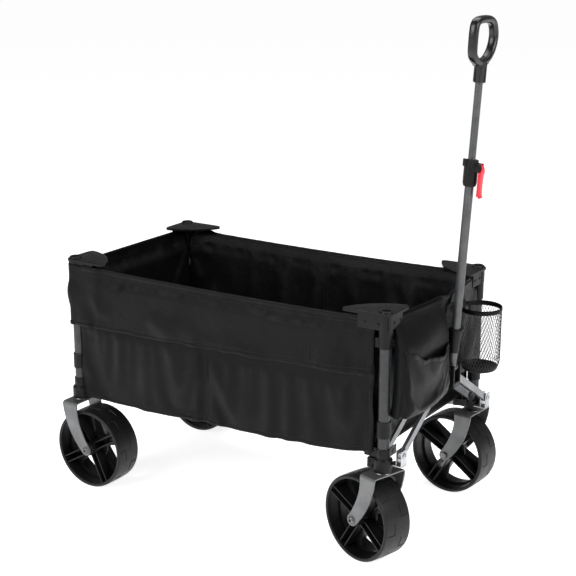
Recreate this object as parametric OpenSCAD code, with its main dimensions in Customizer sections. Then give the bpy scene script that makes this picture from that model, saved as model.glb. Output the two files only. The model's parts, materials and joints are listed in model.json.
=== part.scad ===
// Folding four-wheel wagon with a pull handle.
// X runs along the wagon towards the handle, Y to its left, Z up.
// The origin is on the floor, under the middle of the whole object.

/* [Frame] */
// Distance between the corner posts along the wagon
post_span_x = 828; // [780:1:900]
// Distance between the corner posts across the wagon
post_span_y = 434; // [420:1:470]
// Height of the lower scissor pivots above the floor
lower_pivot_z = 250; // [246:1:256]
// Height of the upper scissor pivots above the floor
upper_pivot_z = 490; // [486:1:500]
// Height of the floor arms' pivots above the floor
arm_pivot_z = 232; // [230:1:233]
// Outer radius of a corner post
post_r = 12.5; // [11:0.5:13]
// Height of the top face of the corner caps
cap_top_z = 556; // [552:1:566]

/* [Wheels] */
// Wheel diameter
wheel_d = 192; // [180:1:196]
// Width of a wheel's tread
wheel_w = 72; // [60:1:74]
// Distance from a post to its wheel's axle along the wagon
fork_offset = 46; // [40:1:50]
// Angle of the front right caster at rest
caster_angle_right = -17; // [-20:1:20]
// Angle of the front left caster at rest
caster_angle_left = -5; // [-20:1:20]

/* [Handle] */
// Forward lean of the handle at rest
handle_lean = 3.5; // [0:0.5:6]
// Height of the handle's pivot above the floor
handle_pivot_z = 385; // [380:1:390]
// Distance from the handle's pivot to the top of its grip
handle_length = 753; // [700:1:780]
// Outer radius of the lower handle tube
handle_lower_r = 9.5; // [9:0.5:11]
// Outer radius of the sliding handle tube
handle_upper_r = 7.8; // [7:0.1:8]

/* [Fabric] */
// Height of the tub's floor
tub_floor_z = 248; // [247:1:250]
// Height of the tub's rim
tub_rim_z = 547; // [540:1:547]
// Thickness of a fabric wall
cloth = 2; // [1.5:0.5:3]
// Radius of the mesh cup holder
cup_r = 46; // [40:1:46]

/* [Hidden] */
$fn = 48;
eps = 0.5;

// The whole object is shifted along X so that the origin is under its middle.
origin_x = -33;
half_x = post_span_x / 2;
half_y = post_span_y / 2;
front_x = origin_x + half_x;
rear_x = origin_x - half_x;

// Pivots, measured inwards from a post's axis
pivot_in_x = 30;
pivot_in_y = pivot_in_x / 2 + (half_y - half_x / 2);
pin_r = 3;
pin_bore_r = 3.05;

// Scissor bars: four along each side, two across each end, all of one length
bar_span = half_x - pivot_in_x;
bar_rise = upper_pivot_z - lower_pivot_z;
bar_len = sqrt(bar_span * bar_span + bar_rise * bar_rise);
bar_angle = atan2(bar_rise, bar_span);
bar_thick = 6;
bar_half_w = 9;
side_layer = [-10, -2];
end_layer = [-7.5, 1.5];

// Floor arms and their hub
hub_in_x = 36;
hub_in_y = 18;
arm_dx = half_x - pivot_in_x - hub_in_x;
arm_dy = half_y - pivot_in_y - hub_in_y;
arm_len = sqrt(arm_dx * arm_dx + arm_dy * arm_dy);
arm_angle = atan2(arm_dy, arm_dx);
arm_r = 7.5;
arm_thick = 12;
lug_gap = 0.6;
lug_thick = 2.5;
lug_half_h = 8;
lug_front = 8;
arm_lug_back = 24;
hub_lug_half_h = 7;
hub_half_x = 52;
hub_half_y = 30;
hub_plate_low = 8.8;
hub_plate_high = 13;

// Posts, brackets and caps
post_bore_r = 10.65;
slider_r = 10.6;
slider_bore_r = 9;
post_bottom_z = 242;
post_top_z = 480;
slider_bottom_z = 275;
stop_ring_z = 286;
stop_ring_h = 36;
stop_ring_r = 15;
bracket_r = 15;
bracket_foot_r = 20;
bracket_foot_z = 210;
bracket_foot_top = 240;
bracket_top_z = 262;
fit_gap = 0.05;
seat_gap = 0.2;
loose_gap = 0.1;
cheek = 2;
side_lug_out = 42;
side_lug_in = 6;
side_lug_y = [-13, 5];
end_lug_x = [-10.5, 8.5];
end_lug_y = [-38, -8];
pivot_lug_drop = 9;
pivot_lug_rise = 12;
free_lug_x = -11;
free_lug_t = 1.8;
free_lug_y = [-34, -9];

// Clevises at the front corners, for the handle's links
clevis_x = [12, 43];
clevis_z = 226;
clevis_base_h = 3;
clevis_y = -24;
clevis_cheek_x = [29, 41];
clevis_pin_end = 45;
collar_r = 14.5;
cap_plate_h = 6;
cap_plate_z = cap_top_z - cap_plate_h;
cap_skirt_z = 520;
cap_out = 18;
skirt_len = 60;
cap_wall = 3;
cap_ring_r = 14;
cap_ring_wall = 5;
cap_ring_h = 4;
cap_face = cap_out - 6;
cap_end_skirt = 50;
cap_wing_x = 92;
cap_wing_y = 72;
cap_bite_at = 150;
cap_bite_r = 126;
cap_round_at = [-44, -34];
cap_round_r = 74;

// Casters, forks and wheels
wheel_r = wheel_d / 2;
fork_plate_z = 206.2;
fork_plate_h = 3.5;
fork_leg_in = 42;
fork_leg_t = 3.5;
kingpin_r = 6;
kingpin_top = 238;
fork_plate_x = [-23, 21];
fork_shoulder = [-4, 190.2];
fork_shoulder_r = 19;
fork_knee = [-12, 150];
fork_knee_r = 17;
fork_eye_r = 13;
nut_r = 8;
nut_gap = 0.1;
nut_h = 4;
axle_r = 5;
axle_bore_r = 5.05;
rim_wall = 6;
hub_r = 17;
hub_half = 40;
web_t = 5;
fin_t = 3;
fin_in = 8;
fin_half_w = 24;
rim_crown = 4;
wheel_turn = 30;
spokes = [0, 90, 180, 270];

// Handle links and handle
link_x = 36;
link_half_t = 4;
link_in_y = 12;
link_len = bar_len / 2;
base_half_y = pivot_in_y - link_in_y;
base_pivot_x = 47;
base_z = lower_pivot_z + bar_rise / 2;
base_x = [42, 60];
base_cheek_y = [12.5, 17];
base_drop = 28;
base_tie_h = 12;
base_tie_half = 14;
base_pin_x = [30, 43];
handle_x = front_x + base_pivot_x;
foot_len = 40;
lower_end = 452;
clamp_z = 406;
clamp_h = 52;
upper_start = 345;
grip_start = 630;
grip_half_w = 57;
grip_half_t = 10;
grip_bar = 17;
grip_corner_r = 26;
grip_neck_r = [10.5, 13];
grip_neck_h = 46;
grip_neck_drop = 12;
grip_foot = 25;
grip_taper = 0.45;
grip_low_share = 0.8;
grip_socket = 20;
upper_wall = 1.5;
foot_r = [8, 12];
foot_over = 40;
foot_barrel_r = 9;
foot_barrel_w = 24;
socket_rise = 10;
clamp_r = 14;
ear_x = [4, 15];
ear_z = [-10, 8];
ear_half_y = 7;
ear_inner_y = 4.6;
ear_cheek_x = 10;
ear_cheek_half_h = 7;
lever_pin_r = 2;
lever_pin_bore = 2.05;
lever_eye_r = 4;
lever_half_w = 4.2;
lever_paddle_half = 8;
lever_paddle_h = 44;
lever_side = [[3.9, 0], [7, -20], [9, -62], [3, -62], [-1, -30], [-1, -12], [-3.5, 0]];
lever_x = 19;
lever_z = 444;
lever_len = 62;

// Fabric
side_in = 20;
side_out = 9;
end_out = 11.5;
pocket_wall_x = 46;
pocket_x = 72;
pocket_bottom_z = 330;
pocket_hem_z = 450;
handle_gap = 22;
pocket_y = half_y + 3;
bag_start_y = half_y - 56;
panel_over = 10;
cap_room_in = 19;
cap_room_out = 30;
cap_room_y = 54;
cap_room_x = 6;
cap_room_drop = 4;
board_gap = 1;
board_inset = 3;
cup_wall = 3;
cup_foot = 10;
cup_foot_h = 18;
cup_rim_h = 10;
cup_x = 62;
cup_y = 108;
cup_z = 352;
cup_h = 148;
panel_x0 = rear_x + pivot_in_x - 8;
panel_x1 = front_x - pivot_in_x + 8;
panel_y = half_y - pivot_in_y + 3;

// ---------- placing ----------
// Mirrors its children when the flag is set.
module flip_x(on) {
    if (on) mirror([1, 0, 0]) children();
    else children();
}

module flip_y(on) {
    if (on) mirror([0, 1, 0]) children();
    else children();
}

// Puts a corner's local frame at its post: +X and +Y point outwards.
module corner(sx, sy) {
    translate([origin_x + sx * half_x, sy * half_y, 0])
        flip_x(sx < 0)
            flip_y(sy < 0)
                children();
}

// A cylinder along X or along Y, from a to b
module rod_x(r, a, b) {
    translate([a, 0, 0]) rotate([0, 90, 0]) cylinder(r = r, h = b - a);
}

module rod_y(r, a, b) {
    translate([0, a, 0]) rotate([-90, 0, 0]) cylinder(r = r, h = b - a);
}

module box(a, b) {
    translate(a) cube(b - a);
}

// ---------- corner brackets ----------
module side_lug(z) {
    for (y = side_lug_y)
        box([-side_lug_out, y, z - pivot_lug_drop], [-side_lug_in, y + cheek, z + pivot_lug_rise]);
    translate([-pivot_in_x, 0, z]) rod_y(pin_r, side_lug_y[0], side_lug_y[1] + cheek);
}

module end_lug(z) {
    for (x = end_lug_x)
        box([x, end_lug_y[0], z - pivot_lug_drop], [x + cheek, end_lug_y[1], z + pivot_lug_rise]);
    translate([0, -pivot_in_y, z]) rod_x(pin_r, end_lug_x[0], end_lug_x[1] + cheek);
}

// Two plates and a pin that hold a floor arm's end; +X points along the arm.
module arm_lug() {
    inner = arm_thick / 2 + lug_gap;
    for (side = [-1, 1])
        flip_y(side < 0)
            box([-arm_lug_back, inner, -lug_half_h], [lug_front, inner + lug_thick, lug_half_h]);
    rod_y(pin_r, -inner - lug_thick, inner + lug_thick);
}

module clevis() {
    box([clevis_x[0], clevis_y, clevis_z], [clevis_x[1], 0, clevis_z + clevis_base_h]);
    for (x = clevis_cheek_x)
        box([x, clevis_y, clevis_z], [x + cheek, 0, bracket_top_z]);
    translate([0, -link_in_y, lower_pivot_z]) rod_x(pin_r, clevis_cheek_x[0], clevis_pin_end);
}

module bracket(sx, sy) {
    color([0.06, 0.06, 0.065])
    corner(sx, sy)
        difference() {
            union() {
                translate([0, 0, bracket_foot_z])
                    cylinder(r = bracket_foot_r, h = bracket_foot_top - bracket_foot_z);
                translate([0, 0, bracket_foot_z])
                    cylinder(r = bracket_r, h = bracket_top_z - bracket_foot_z);
                side_lug(lower_pivot_z);
                end_lug(lower_pivot_z);
                translate([-pivot_in_x, -pivot_in_y, arm_pivot_z])
                    rotate([0, 0, 180 + arm_angle])
                        arm_lug();
                if (sx > 0) clevis();
            }
            translate([0, 0, post_bottom_z])
                cylinder(r = post_r + loose_gap, h = bracket_top_z - post_bottom_z + 1);
            translate([0, 0, bracket_foot_z - 1])
                cylinder(r = kingpin_r + fit_gap, h = kingpin_top + 1 - bracket_foot_z + 1);
        }
}

// ---------- corner posts ----------
module post(sx, sy) {
    color([0.27, 0.28, 0.29])
    corner(sx, sy) {
        difference() {
            translate([0, 0, post_bottom_z + seat_gap])
                cylinder(r = post_r, h = post_top_z - post_bottom_z - seat_gap);
            translate([0, 0, post_bottom_z - 1])
                cylinder(r = post_bore_r, h = post_top_z - post_bottom_z + 2);
        }
        difference() {
            translate([0, 0, stop_ring_z]) cylinder(r = stop_ring_r, h = stop_ring_h);
            translate([0, 0, stop_ring_z - 1])
                cylinder(r = post_r + loose_gap, h = stop_ring_h + 2);
        }
    }
}

module slider_tube(sx, sy) {
    color([0.45, 0.46, 0.48])
    corner(sx, sy)
        difference() {
            translate([0, 0, slider_bottom_z])
                cylinder(r = slider_r, h = cap_plate_z - slider_bottom_z - seat_gap);
            translate([0, 0, slider_bottom_z - 1])
                cylinder(r = slider_bore_r, h = cap_plate_z - slider_bottom_z + 2);
        }
}

// ---------- corner caps ----------
// Outline of the cap's winged top plate, with its corner outwards
module cap_outline() {
    intersection() {
        difference() {
            translate([-cap_wing_x, -cap_wing_y])
                square([cap_wing_x + cap_out, cap_wing_y + cap_out]);
            translate([-cap_bite_at, -cap_bite_at]) circle(r = cap_bite_r, $fn = 96);
        }
        translate(cap_round_at) circle(r = cap_round_r, $fn = 96);
    }
}

module cap(sx, sy) {
    skirt_h = cap_plate_z - cap_skirt_z + eps;
    color([0.06, 0.06, 0.065])
    corner(sx, sy)
        difference() {
            union() {
                translate([0, 0, cap_plate_z])
                    linear_extrude(cap_plate_h) cap_outline();
                translate([0, 0, cap_top_z - eps])
                    difference() {
                        cylinder(r = cap_ring_r, h = cap_ring_h);
                        translate([0, 0, 1])
                            cylinder(r = cap_ring_r - cap_ring_wall, h = cap_ring_h);
                    }
                translate([-skirt_len, cap_face - cap_wall, cap_skirt_z])
                    cube([skirt_len + cap_face, cap_wall, skirt_h]);
                translate([cap_face - cap_wall, -cap_end_skirt, cap_skirt_z])
                    cube([cap_wall, cap_end_skirt + cap_face, skirt_h]);
                translate([0, 0, post_top_z + eps])
                    cylinder(r = collar_r, h = cap_plate_z - post_top_z);
                side_lug(upper_pivot_z);
                box([free_lug_x, free_lug_y[0], upper_pivot_z - pivot_lug_drop],
                    [free_lug_x + free_lug_t, free_lug_y[1], upper_pivot_z + pivot_lug_drop]);
            }
            translate([0, 0, post_top_z - 1])
                cylinder(r = slider_r + loose_gap, h = cap_plate_z - post_top_z + 1);
        }
}

// ---------- forks, axles and wheels ----------
function caster_angle(sx, sy) =
    sx < 0 ? 0 : sy < 0 ? caster_angle_right : caster_angle_left;

// Puts a fork's local frame at its post: the wheel is on its -X side.
module caster(sx, sy) {
    translate([origin_x + sx * half_x, sy * half_y, 0])
        rotate([0, 0, caster_angle(sx, sy)])
            flip_x(sx < 0)
                children();
}

module fork_leg_outline() {
    hull() {
        translate(fork_shoulder) circle(r = fork_shoulder_r, $fn = 32);
        translate(fork_knee) circle(r = fork_knee_r, $fn = 32);
    }
    hull() {
        translate(fork_knee) circle(r = fork_knee_r, $fn = 32);
        translate([-fork_offset, wheel_r]) circle(r = fork_eye_r, $fn = 32);
    }
}

module fork(sx, sy) {
    leg_out = fork_leg_in + fork_leg_t;
    color([0.33, 0.34, 0.35])
    caster(sx, sy)
        difference() {
            union() {
                box([fork_plate_x[0], -leg_out, fork_plate_z],
                    [fork_plate_x[1], leg_out, fork_plate_z + fork_plate_h]);
                translate([0, 0, fork_plate_z])
                    cylinder(r = kingpin_r, h = kingpin_top - fork_plate_z);
                for (y = [-leg_out, fork_leg_in])
                    translate([0, y + fork_leg_t, 0])
                        rotate([90, 0, 0])
                            linear_extrude(fork_leg_t)
                                intersection() {
                                    fork_leg_outline();
                                    translate([-100, 0])
                                        square([150, fork_plate_z + fork_plate_h]);
                                }
            }
            translate([-fork_offset, 0, wheel_r]) rod_y(axle_bore_r, -60, 60);
        }
}

module axle(sx, sy) {
    leg_out = fork_leg_in + fork_leg_t;
    color([0.2, 0.2, 0.21])
    caster(sx, sy)
        translate([-fork_offset, 0, wheel_r]) {
            rod_y(axle_r, -leg_out - eps, leg_out + eps);
            rod_y(nut_r, leg_out + nut_gap, leg_out + nut_h);
            rod_y(nut_r, -leg_out - nut_h, -leg_out - nut_gap);
        }
}

module rim_profile() {
    half = wheel_w / 2;
    edge_r = wheel_r - rim_crown;
    polygon([
        [edge_r, -half], [wheel_r - 1, -half * 0.75], [wheel_r, 0],
        [wheel_r - 1, half * 0.75], [edge_r, half],
        [edge_r - rim_wall, half], [wheel_r - rim_wall - 3, 0],
        [edge_r - rim_wall, -half]
    ]);
}

// One web opening between two pairs of spokes
module web_window() {
    intersection() {
        difference() {
            cylinder(r = wheel_r - 20, h = 20, center = true);
            cylinder(r = hub_r + 12, h = 22, center = true);
        }
        translate([0, 0, -10])
            linear_extrude(20)
                polygon([[14, 14], [12, 90], [90, 90], [90, 12]]);
    }
}

module wheel(sx, sy) {
    color([0.07, 0.07, 0.075])
    caster(sx, sy)
        translate([-fork_offset, 0, wheel_r])
            rotate([90, wheel_turn, 0])
                difference() {
                    union() {
                        rotate_extrude($fn = 120) rim_profile();
                        cylinder(r = hub_r, h = 2 * hub_half, center = true);
                        difference() {
                            cylinder(r = wheel_r - 8, h = web_t, center = true);
                            for (a = spokes) rotate([0, 0, a]) web_window();
                        }
                        for (a = spokes, side = [-1, 1])
                            rotate([0, 0, a])
                                translate([hub_r - 3, side * fin_in - fin_t / 2, -fin_half_w])
                                    cube([wheel_r - hub_r - 4, fin_t, 2 * fin_half_w]);
                    }
                    cylinder(r = axle_bore_r, h = 2 * hub_half + 2, center = true);
                }
}

// ---------- floor arms and hub ----------
// A bar along +X from the origin with an eye at each end, flat in XZ
module eyed_bar(len, half_w, thick, bored_far) {
    rotate([90, 0, 0])
        difference() {
            union() {
                cylinder(r = half_w, h = thick, center = true);
                translate([len, 0, 0]) cylinder(r = half_w, h = thick, center = true);
                translate([0, -half_w * 0.85, -thick / 2])
                    cube([len, half_w * 1.7, thick]);
            }
            cylinder(r = pin_bore_r, h = thick + 2, center = true);
            if (bored_far)
                translate([len, 0, 0])
                    cylinder(r = pin_bore_r, h = thick + 2, center = true);
        }
}

module floor_arm(sx, sy) {
    color([0.3, 0.31, 0.32])
    corner(sx, sy)
        translate([-pivot_in_x, -pivot_in_y, arm_pivot_z])
            rotate([0, 0, 180 + arm_angle])
                eyed_bar(arm_len, arm_r, arm_thick, true);
}

module floor_hub() {
    color([0.08, 0.08, 0.085])
    translate([origin_x, 0, arm_pivot_z]) {
        box([-hub_half_x, -hub_half_y, hub_plate_low], [hub_half_x, hub_half_y, hub_plate_high]);
        for (sx = [-1, 1], sy = [-1, 1])
            translate([sx * hub_in_x, sy * hub_in_y, 0])
                flip_x(sx < 0)
                    flip_y(sy < 0)
                        rotate([0, 0, arm_angle])
                            hub_lug();
    }
}

module hub_lug() {
    inner = arm_thick / 2 + lug_gap;
    for (side = [-1, 1])
        flip_y(side < 0)
            box([-lug_front, inner, -hub_lug_half_h], [lug_front, inner + lug_thick, hub_plate_low + 0.2]);
    rod_y(pin_r, -inner - lug_thick, inner + lug_thick);
}

// ---------- scissor bars ----------
// Side bars that rise from a lower bracket to the middle of the side
module rising_bar(sx, sy) {
    y = side_layer[sx < 0 ? 0 : 1];
    color([0.42, 0.43, 0.45])
    corner(sx, sy)
        translate([-pivot_in_x, y + bar_thick / 2, lower_pivot_z])
            flip_x(true)
                rotate([0, -bar_angle, 0])
                    eyed_bar(bar_len, bar_half_w, bar_thick, false);
}

// Side bars that hang from a cap to the middle of the side
module hanging_bar(sx, sy) {
    y = side_layer[sx < 0 ? 1 : 0];
    color([0.42, 0.43, 0.45])
    corner(sx, sy)
        translate([-pivot_in_x, y + bar_thick / 2, upper_pivot_z])
            flip_x(true)
                rotate([0, bar_angle, 0])
                    eyed_bar(bar_len, bar_half_w, bar_thick, false);
}

// Bars that cross an end, from one lower bracket up to the other side's cap
module end_bar(sx, sy) {
    x = end_layer[sy < 0 ? 0 : 1];
    color([0.42, 0.43, 0.45])
    corner(sx, sy)
        translate([x + bar_thick / 2, -pivot_in_y, lower_pivot_z])
            rotate([0, 0, -90])
                rotate([0, -bar_angle, 0])
                    eyed_bar(bar_len, bar_half_w, bar_thick, false);
}

// Links that rise from a front clevis to the handle's base
module handle_link(sy) {
    color([0.42, 0.43, 0.45])
    corner(1, sy)
        translate([link_x, -link_in_y, lower_pivot_z])
            rotate([0, 0, -90])
                rotate([0, -bar_angle, 0])
                    eyed_bar(link_len, bar_half_w, 2 * link_half_t, sy < 0);
}

// ---------- handle ----------
// Puts the handle's own frame at its pivot, with +Z along the tubes.
module handle_frame() {
    translate([handle_x, 0, handle_pivot_z])
        rotate([0, handle_lean, 0])
            children();
}

module handle_base() {
    low = base_z - base_drop;
    color([0.06, 0.06, 0.065]) {
        for (side = [-1, 1])
            flip_y(side < 0)
                box([front_x + base_x[0], base_cheek_y[0], low],
                    [front_x + base_x[1], base_cheek_y[1], handle_pivot_z + foot_barrel_r]);
        box([front_x + base_x[0], -base_tie_half, low],
            [front_x + base_x[1], base_tie_half, low + base_tie_h]);
        translate([handle_x, 0, handle_pivot_z]) rod_y(pin_r, -base_cheek_y[1], base_cheek_y[1]);
        translate([front_x, -base_half_y, base_z]) rod_x(pin_r, base_pin_x[0], base_pin_x[1]);
    }
}

module handle_tube_lower() {
    color([0.3, 0.31, 0.32])
    handle_frame()
        difference() {
            union() {
                cylinder(r1 = foot_r[0], r2 = foot_r[1], h = foot_len + foot_over);
                rotate([90, 0, 0]) cylinder(r = foot_barrel_r, h = foot_barrel_w, center = true);
                translate([0, 0, foot_len]) cylinder(r = handle_lower_r, h = lower_end - foot_len);
            }
            translate([0, 0, foot_len + socket_rise])
                cylinder(r = handle_upper_r + fit_gap, h = lower_end);
            rotate([90, 0, 0]) cylinder(r = pin_bore_r, h = foot_barrel_w + 2, center = true);
        }
}

module handle_clamp() {
    color([0.06, 0.06, 0.065])
    handle_frame()
        difference() {
            union() {
                translate([0, 0, clamp_z]) cylinder(r = clamp_r, h = clamp_h);
                box([ear_x[0], -ear_half_y, lever_z + ear_z[0]], [ear_x[1], ear_half_y, lever_z + ear_z[1]]);
                for (side = [-1, 1])
                    flip_y(side < 0)
                        box([ear_cheek_x, ear_inner_y, lever_z - ear_cheek_half_h],
                            [lever_x + 6, ear_half_y, lever_z + ear_cheek_half_h]);
                translate([lever_x, 0, lever_z]) rod_y(lever_pin_r, -ear_half_y, ear_half_y);
            }
            translate([0, 0, clamp_z - 1])
                cylinder(r = handle_lower_r + loose_gap, h = lower_end - clamp_z + 1.2);
            translate([0, 0, clamp_z - 1]) cylinder(r = handle_upper_r + 0.4, h = clamp_h + 2);
        }
}

module clamp_lever() {
    color([0.8, 0.05, 0.07])
    handle_frame()
        translate([lever_x, 0, lever_z])
            difference() {
                union() {
                    rod_y(lever_eye_r, -lever_half_w, lever_half_w);
                    translate([0, lever_half_w, 0])
                        rotate([90, 0, 0])
                            linear_extrude(2 * lever_half_w)
                                polygon(lever_side);
                    translate([3.5, -lever_paddle_half, -lever_len])
                        cube([5, 2 * lever_paddle_half, lever_paddle_h]);
                }
                rod_y(lever_pin_bore, -10, 10);
            }
}

module handle_tube_upper() {
    color([0.36, 0.37, 0.38])
    handle_frame()
        difference() {
            translate([0, 0, upper_start])
                cylinder(r = handle_upper_r, h = grip_start + grip_socket - upper_start);
            translate([0, 0, upper_start - 1])
                cylinder(r = handle_upper_r - upper_wall, h = grip_start + grip_socket + 2 - upper_start);
        }
}

module grip_outline(inset) {
    r = grip_corner_r - inset / 2;
    low_r = r * grip_low_share;
    w = grip_half_w - inset;
    z0 = grip_start + grip_foot + inset;
    z1 = handle_length - inset;
    hull() {
        for (side = [-1, 1]) {
            translate([side * (w - r), z1 - r]) circle(r = r, $fn = 32);
            translate([side * (w - r) * grip_taper, z0 + low_r]) circle(r = low_r, $fn = 32);
        }
    }
}

module handle_grip() {
    color([0.06, 0.06, 0.065])
    handle_frame()
        difference() {
            union() {
                translate([-grip_half_t, 0, 0])
                    rotate([90, 0, 90])
                        linear_extrude(2 * grip_half_t)
                            difference() {
                                grip_outline(0);
                                grip_outline(grip_bar);
                            }
                translate([0, 0, grip_start - grip_neck_drop])
                    cylinder(r1 = grip_neck_r[0], r2 = grip_neck_r[1], h = grip_neck_h);
            }
            translate([0, 0, grip_start - grip_neck_drop - 1])
                cylinder(r = handle_upper_r + loose_gap, h = grip_neck_drop + grip_socket + 1.2);
        }
}

// ---------- fabric ----------
// A double-walled long side, open below, that hides the scissor bars
module side_panel(sy) {
    color([0.03, 0.03, 0.032])
    flip_y(sy < 0) {
        translate([0, half_y, 0])
            difference() {
                box([panel_x0, -side_in, tub_floor_z + 2], [panel_x1, side_out + cloth, tub_rim_z]);
                box([panel_x0 - 1, -side_in + cloth, tub_floor_z - panel_over],
                    [panel_x1 + 1, side_out, tub_rim_z - cloth]);
                for (x = [rear_x, front_x])
                    box([x - skirt_len - 2, side_out - cap_wall, cap_skirt_z - cap_room_drop],
                        [x + skirt_len + 2, side_out + cloth + 1, cap_top_z]);
            }
    }
}

module rear_panel() {
    x_in = rear_x + side_in;
    x_out = rear_x - end_out;
    color([0.03, 0.03, 0.032]) {
        difference() {
            box([x_out - cloth, -panel_y, tub_floor_z + 2], [x_in, panel_y, tub_rim_z]);
            box([x_out, -panel_y - 1, tub_floor_z - panel_over],
                [x_in - cloth, panel_y + 1, tub_rim_z - cloth]);
            for (sy = [-1, 1]) corner(-1, sy) cap_room();
        }
    }
}

// Space kept clear around a cap's skirt
module cap_room() {
    low = cap_skirt_z - cap_room_drop;
    box([cap_room_x, -cap_room_y, low], [cap_room_out, cap_room_out, cap_top_z]);
    box([-cap_room_in, -cap_room_in, low], [cap_room_out, cap_room_out, cap_top_z]);
}

module front_panel() {
    x_in = front_x - side_in;
    wall_x = front_x + pocket_wall_x;
    color([0.03, 0.03, 0.032]) {
        difference() {
            union() {
                box([x_in, -panel_y, tub_floor_z + 2], [front_x + end_out + cloth, panel_y, tub_rim_z]);
                box([front_x, -bag_start_y, tub_rim_z - cloth], [wall_x, -handle_gap, tub_rim_z]);
            }
            box([x_in + cloth, -panel_y - 1, tub_floor_z - panel_over],
                [front_x + end_out, panel_y + 1, tub_rim_z - cloth]);
            box([front_x + end_out - 1, -panel_y - 1, tub_floor_z - panel_over],
                [front_x + end_out + cloth + 1, -handle_gap, tub_rim_z - cloth]);
            box([front_x + end_out - 1, 0, tub_floor_z - panel_over],
                [front_x + end_out + cloth + 1, panel_y + 1, pocket_bottom_z]);
            for (sy = [-1, 1]) corner(1, sy) cap_room();
        }
        box([wall_x, -pocket_y, pocket_bottom_z], [wall_x + cloth, -handle_gap, tub_rim_z]);
        front_pocket();
    }
}

module front_pocket() {
    x0 = front_x + pocket_wall_x + cloth;
    x1 = front_x + pocket_x;
    difference() {
        box([x0, -pocket_y, pocket_bottom_z], [x1, -handle_gap, pocket_hem_z]);
        box([x0 - 1, -pocket_y + cloth, pocket_bottom_z + cloth],
            [x1 - cloth, -handle_gap - cloth, pocket_hem_z + 1]);
    }
}

module floor_panel(sy) {
    color([0.03, 0.03, 0.032])
    flip_y(sy < 0)
        box([panel_x0 + board_inset, board_gap, tub_floor_z],
            [panel_x1 - board_inset, half_y - side_in - cloth, tub_floor_z + cloth]);
}

module cup_holder() {
    color([0.1, 0.1, 0.1])
    translate([front_x + cup_x, cup_y, cup_z])
        difference() {
            union() {
                cylinder(r1 = cup_r - cup_foot, r2 = cup_r - 1, h = cup_foot_h);
                translate([0, 0, cup_foot_h - eps])
                    cylinder(r = cup_r - 1, h = cup_h - cup_foot_h + eps);
                translate([0, 0, cup_h - cup_rim_h]) cylinder(r = cup_r, h = cup_rim_h);
            }
            translate([0, 0, cup_wall])
                cylinder(r1 = cup_r - cup_foot - 2, r2 = cup_r - cup_wall, h = cup_foot_h - 2);
            translate([0, 0, cup_foot_h + 0.9]) cylinder(r = cup_r - cup_wall, h = cup_h);
        }
}

bracket(-1, -1);  // bracket_rr
bracket(-1, 1);  // bracket_rl
bracket(1, -1);  // bracket_fr
bracket(1, 1);  // bracket_fl
post(-1, -1);  // post_rr
post(-1, 1);  // post_rl
post(1, -1);  // post_fr
post(1, 1);  // post_fl
cap(-1, -1);  // cap_rr
cap(-1, 1);  // cap_rl
cap(1, -1);  // cap_fr
cap(1, 1);  // cap_fl
slider_tube(-1, -1);  // slider_tube_rr
slider_tube(-1, 1);  // slider_tube_rl
slider_tube(1, -1);  // slider_tube_fr
slider_tube(1, 1);  // slider_tube_fl
fork(-1, -1);  // fork_rr
fork(-1, 1);  // fork_rl
fork(1, -1);  // fork_fr
fork(1, 1);  // fork_fl
wheel(-1, -1);  // wheel_rr
wheel(-1, 1);  // wheel_rl
wheel(1, -1);  // wheel_fr
wheel(1, 1);  // wheel_fl
axle(-1, -1);  // axle_rr
axle(-1, 1);  // axle_rl
axle(1, -1);  // axle_fr
axle(1, 1);  // axle_fl
floor_arm(-1, -1);  // floor_arm_rr
floor_arm(-1, 1);  // floor_arm_rl
floor_arm(1, -1);  // floor_arm_fr
floor_arm(1, 1);  // floor_arm_fl
floor_hub();
rising_bar(-1, -1);  // rising_bar_rr
rising_bar(-1, 1);  // rising_bar_rl
rising_bar(1, -1);  // rising_bar_fr
rising_bar(1, 1);  // rising_bar_fl
hanging_bar(-1, -1);  // hanging_bar_rr
hanging_bar(-1, 1);  // hanging_bar_rl
hanging_bar(1, -1);  // hanging_bar_fr
hanging_bar(1, 1);  // hanging_bar_fl
end_bar(-1, -1);  // end_bar_rr
end_bar(-1, 1);  // end_bar_rl
end_bar(1, -1);  // end_bar_fr
end_bar(1, 1);  // end_bar_fl
handle_link(-1);  // handle_link_right
handle_link(1);  // handle_link_left
handle_base();
handle_tube_lower();
handle_clamp();
clamp_lever();
handle_tube_upper();
handle_grip();
side_panel(-1);  // side_panel_right
side_panel(1);  // side_panel_left
front_panel();
rear_panel();
floor_panel(-1);  // floor_panel_right
floor_panel(1);  // floor_panel_left
cup_holder();
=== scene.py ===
# %% [markdown]
# # A folding wagon with a pull handle
#
# The wagon is a steel folding frame with a black fabric tub hung inside it.
# The frame, with every tube, bar and pivot, is loaded first and is never moved.
# Everything after that is looks: each step says what a piece is on the real
# wagon, how it could be made, and why it is made the way it is here.

# %% Load the frame
import json
import math

import bmesh
import bpy
from mathutils import Matrix, Vector, noise


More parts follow.
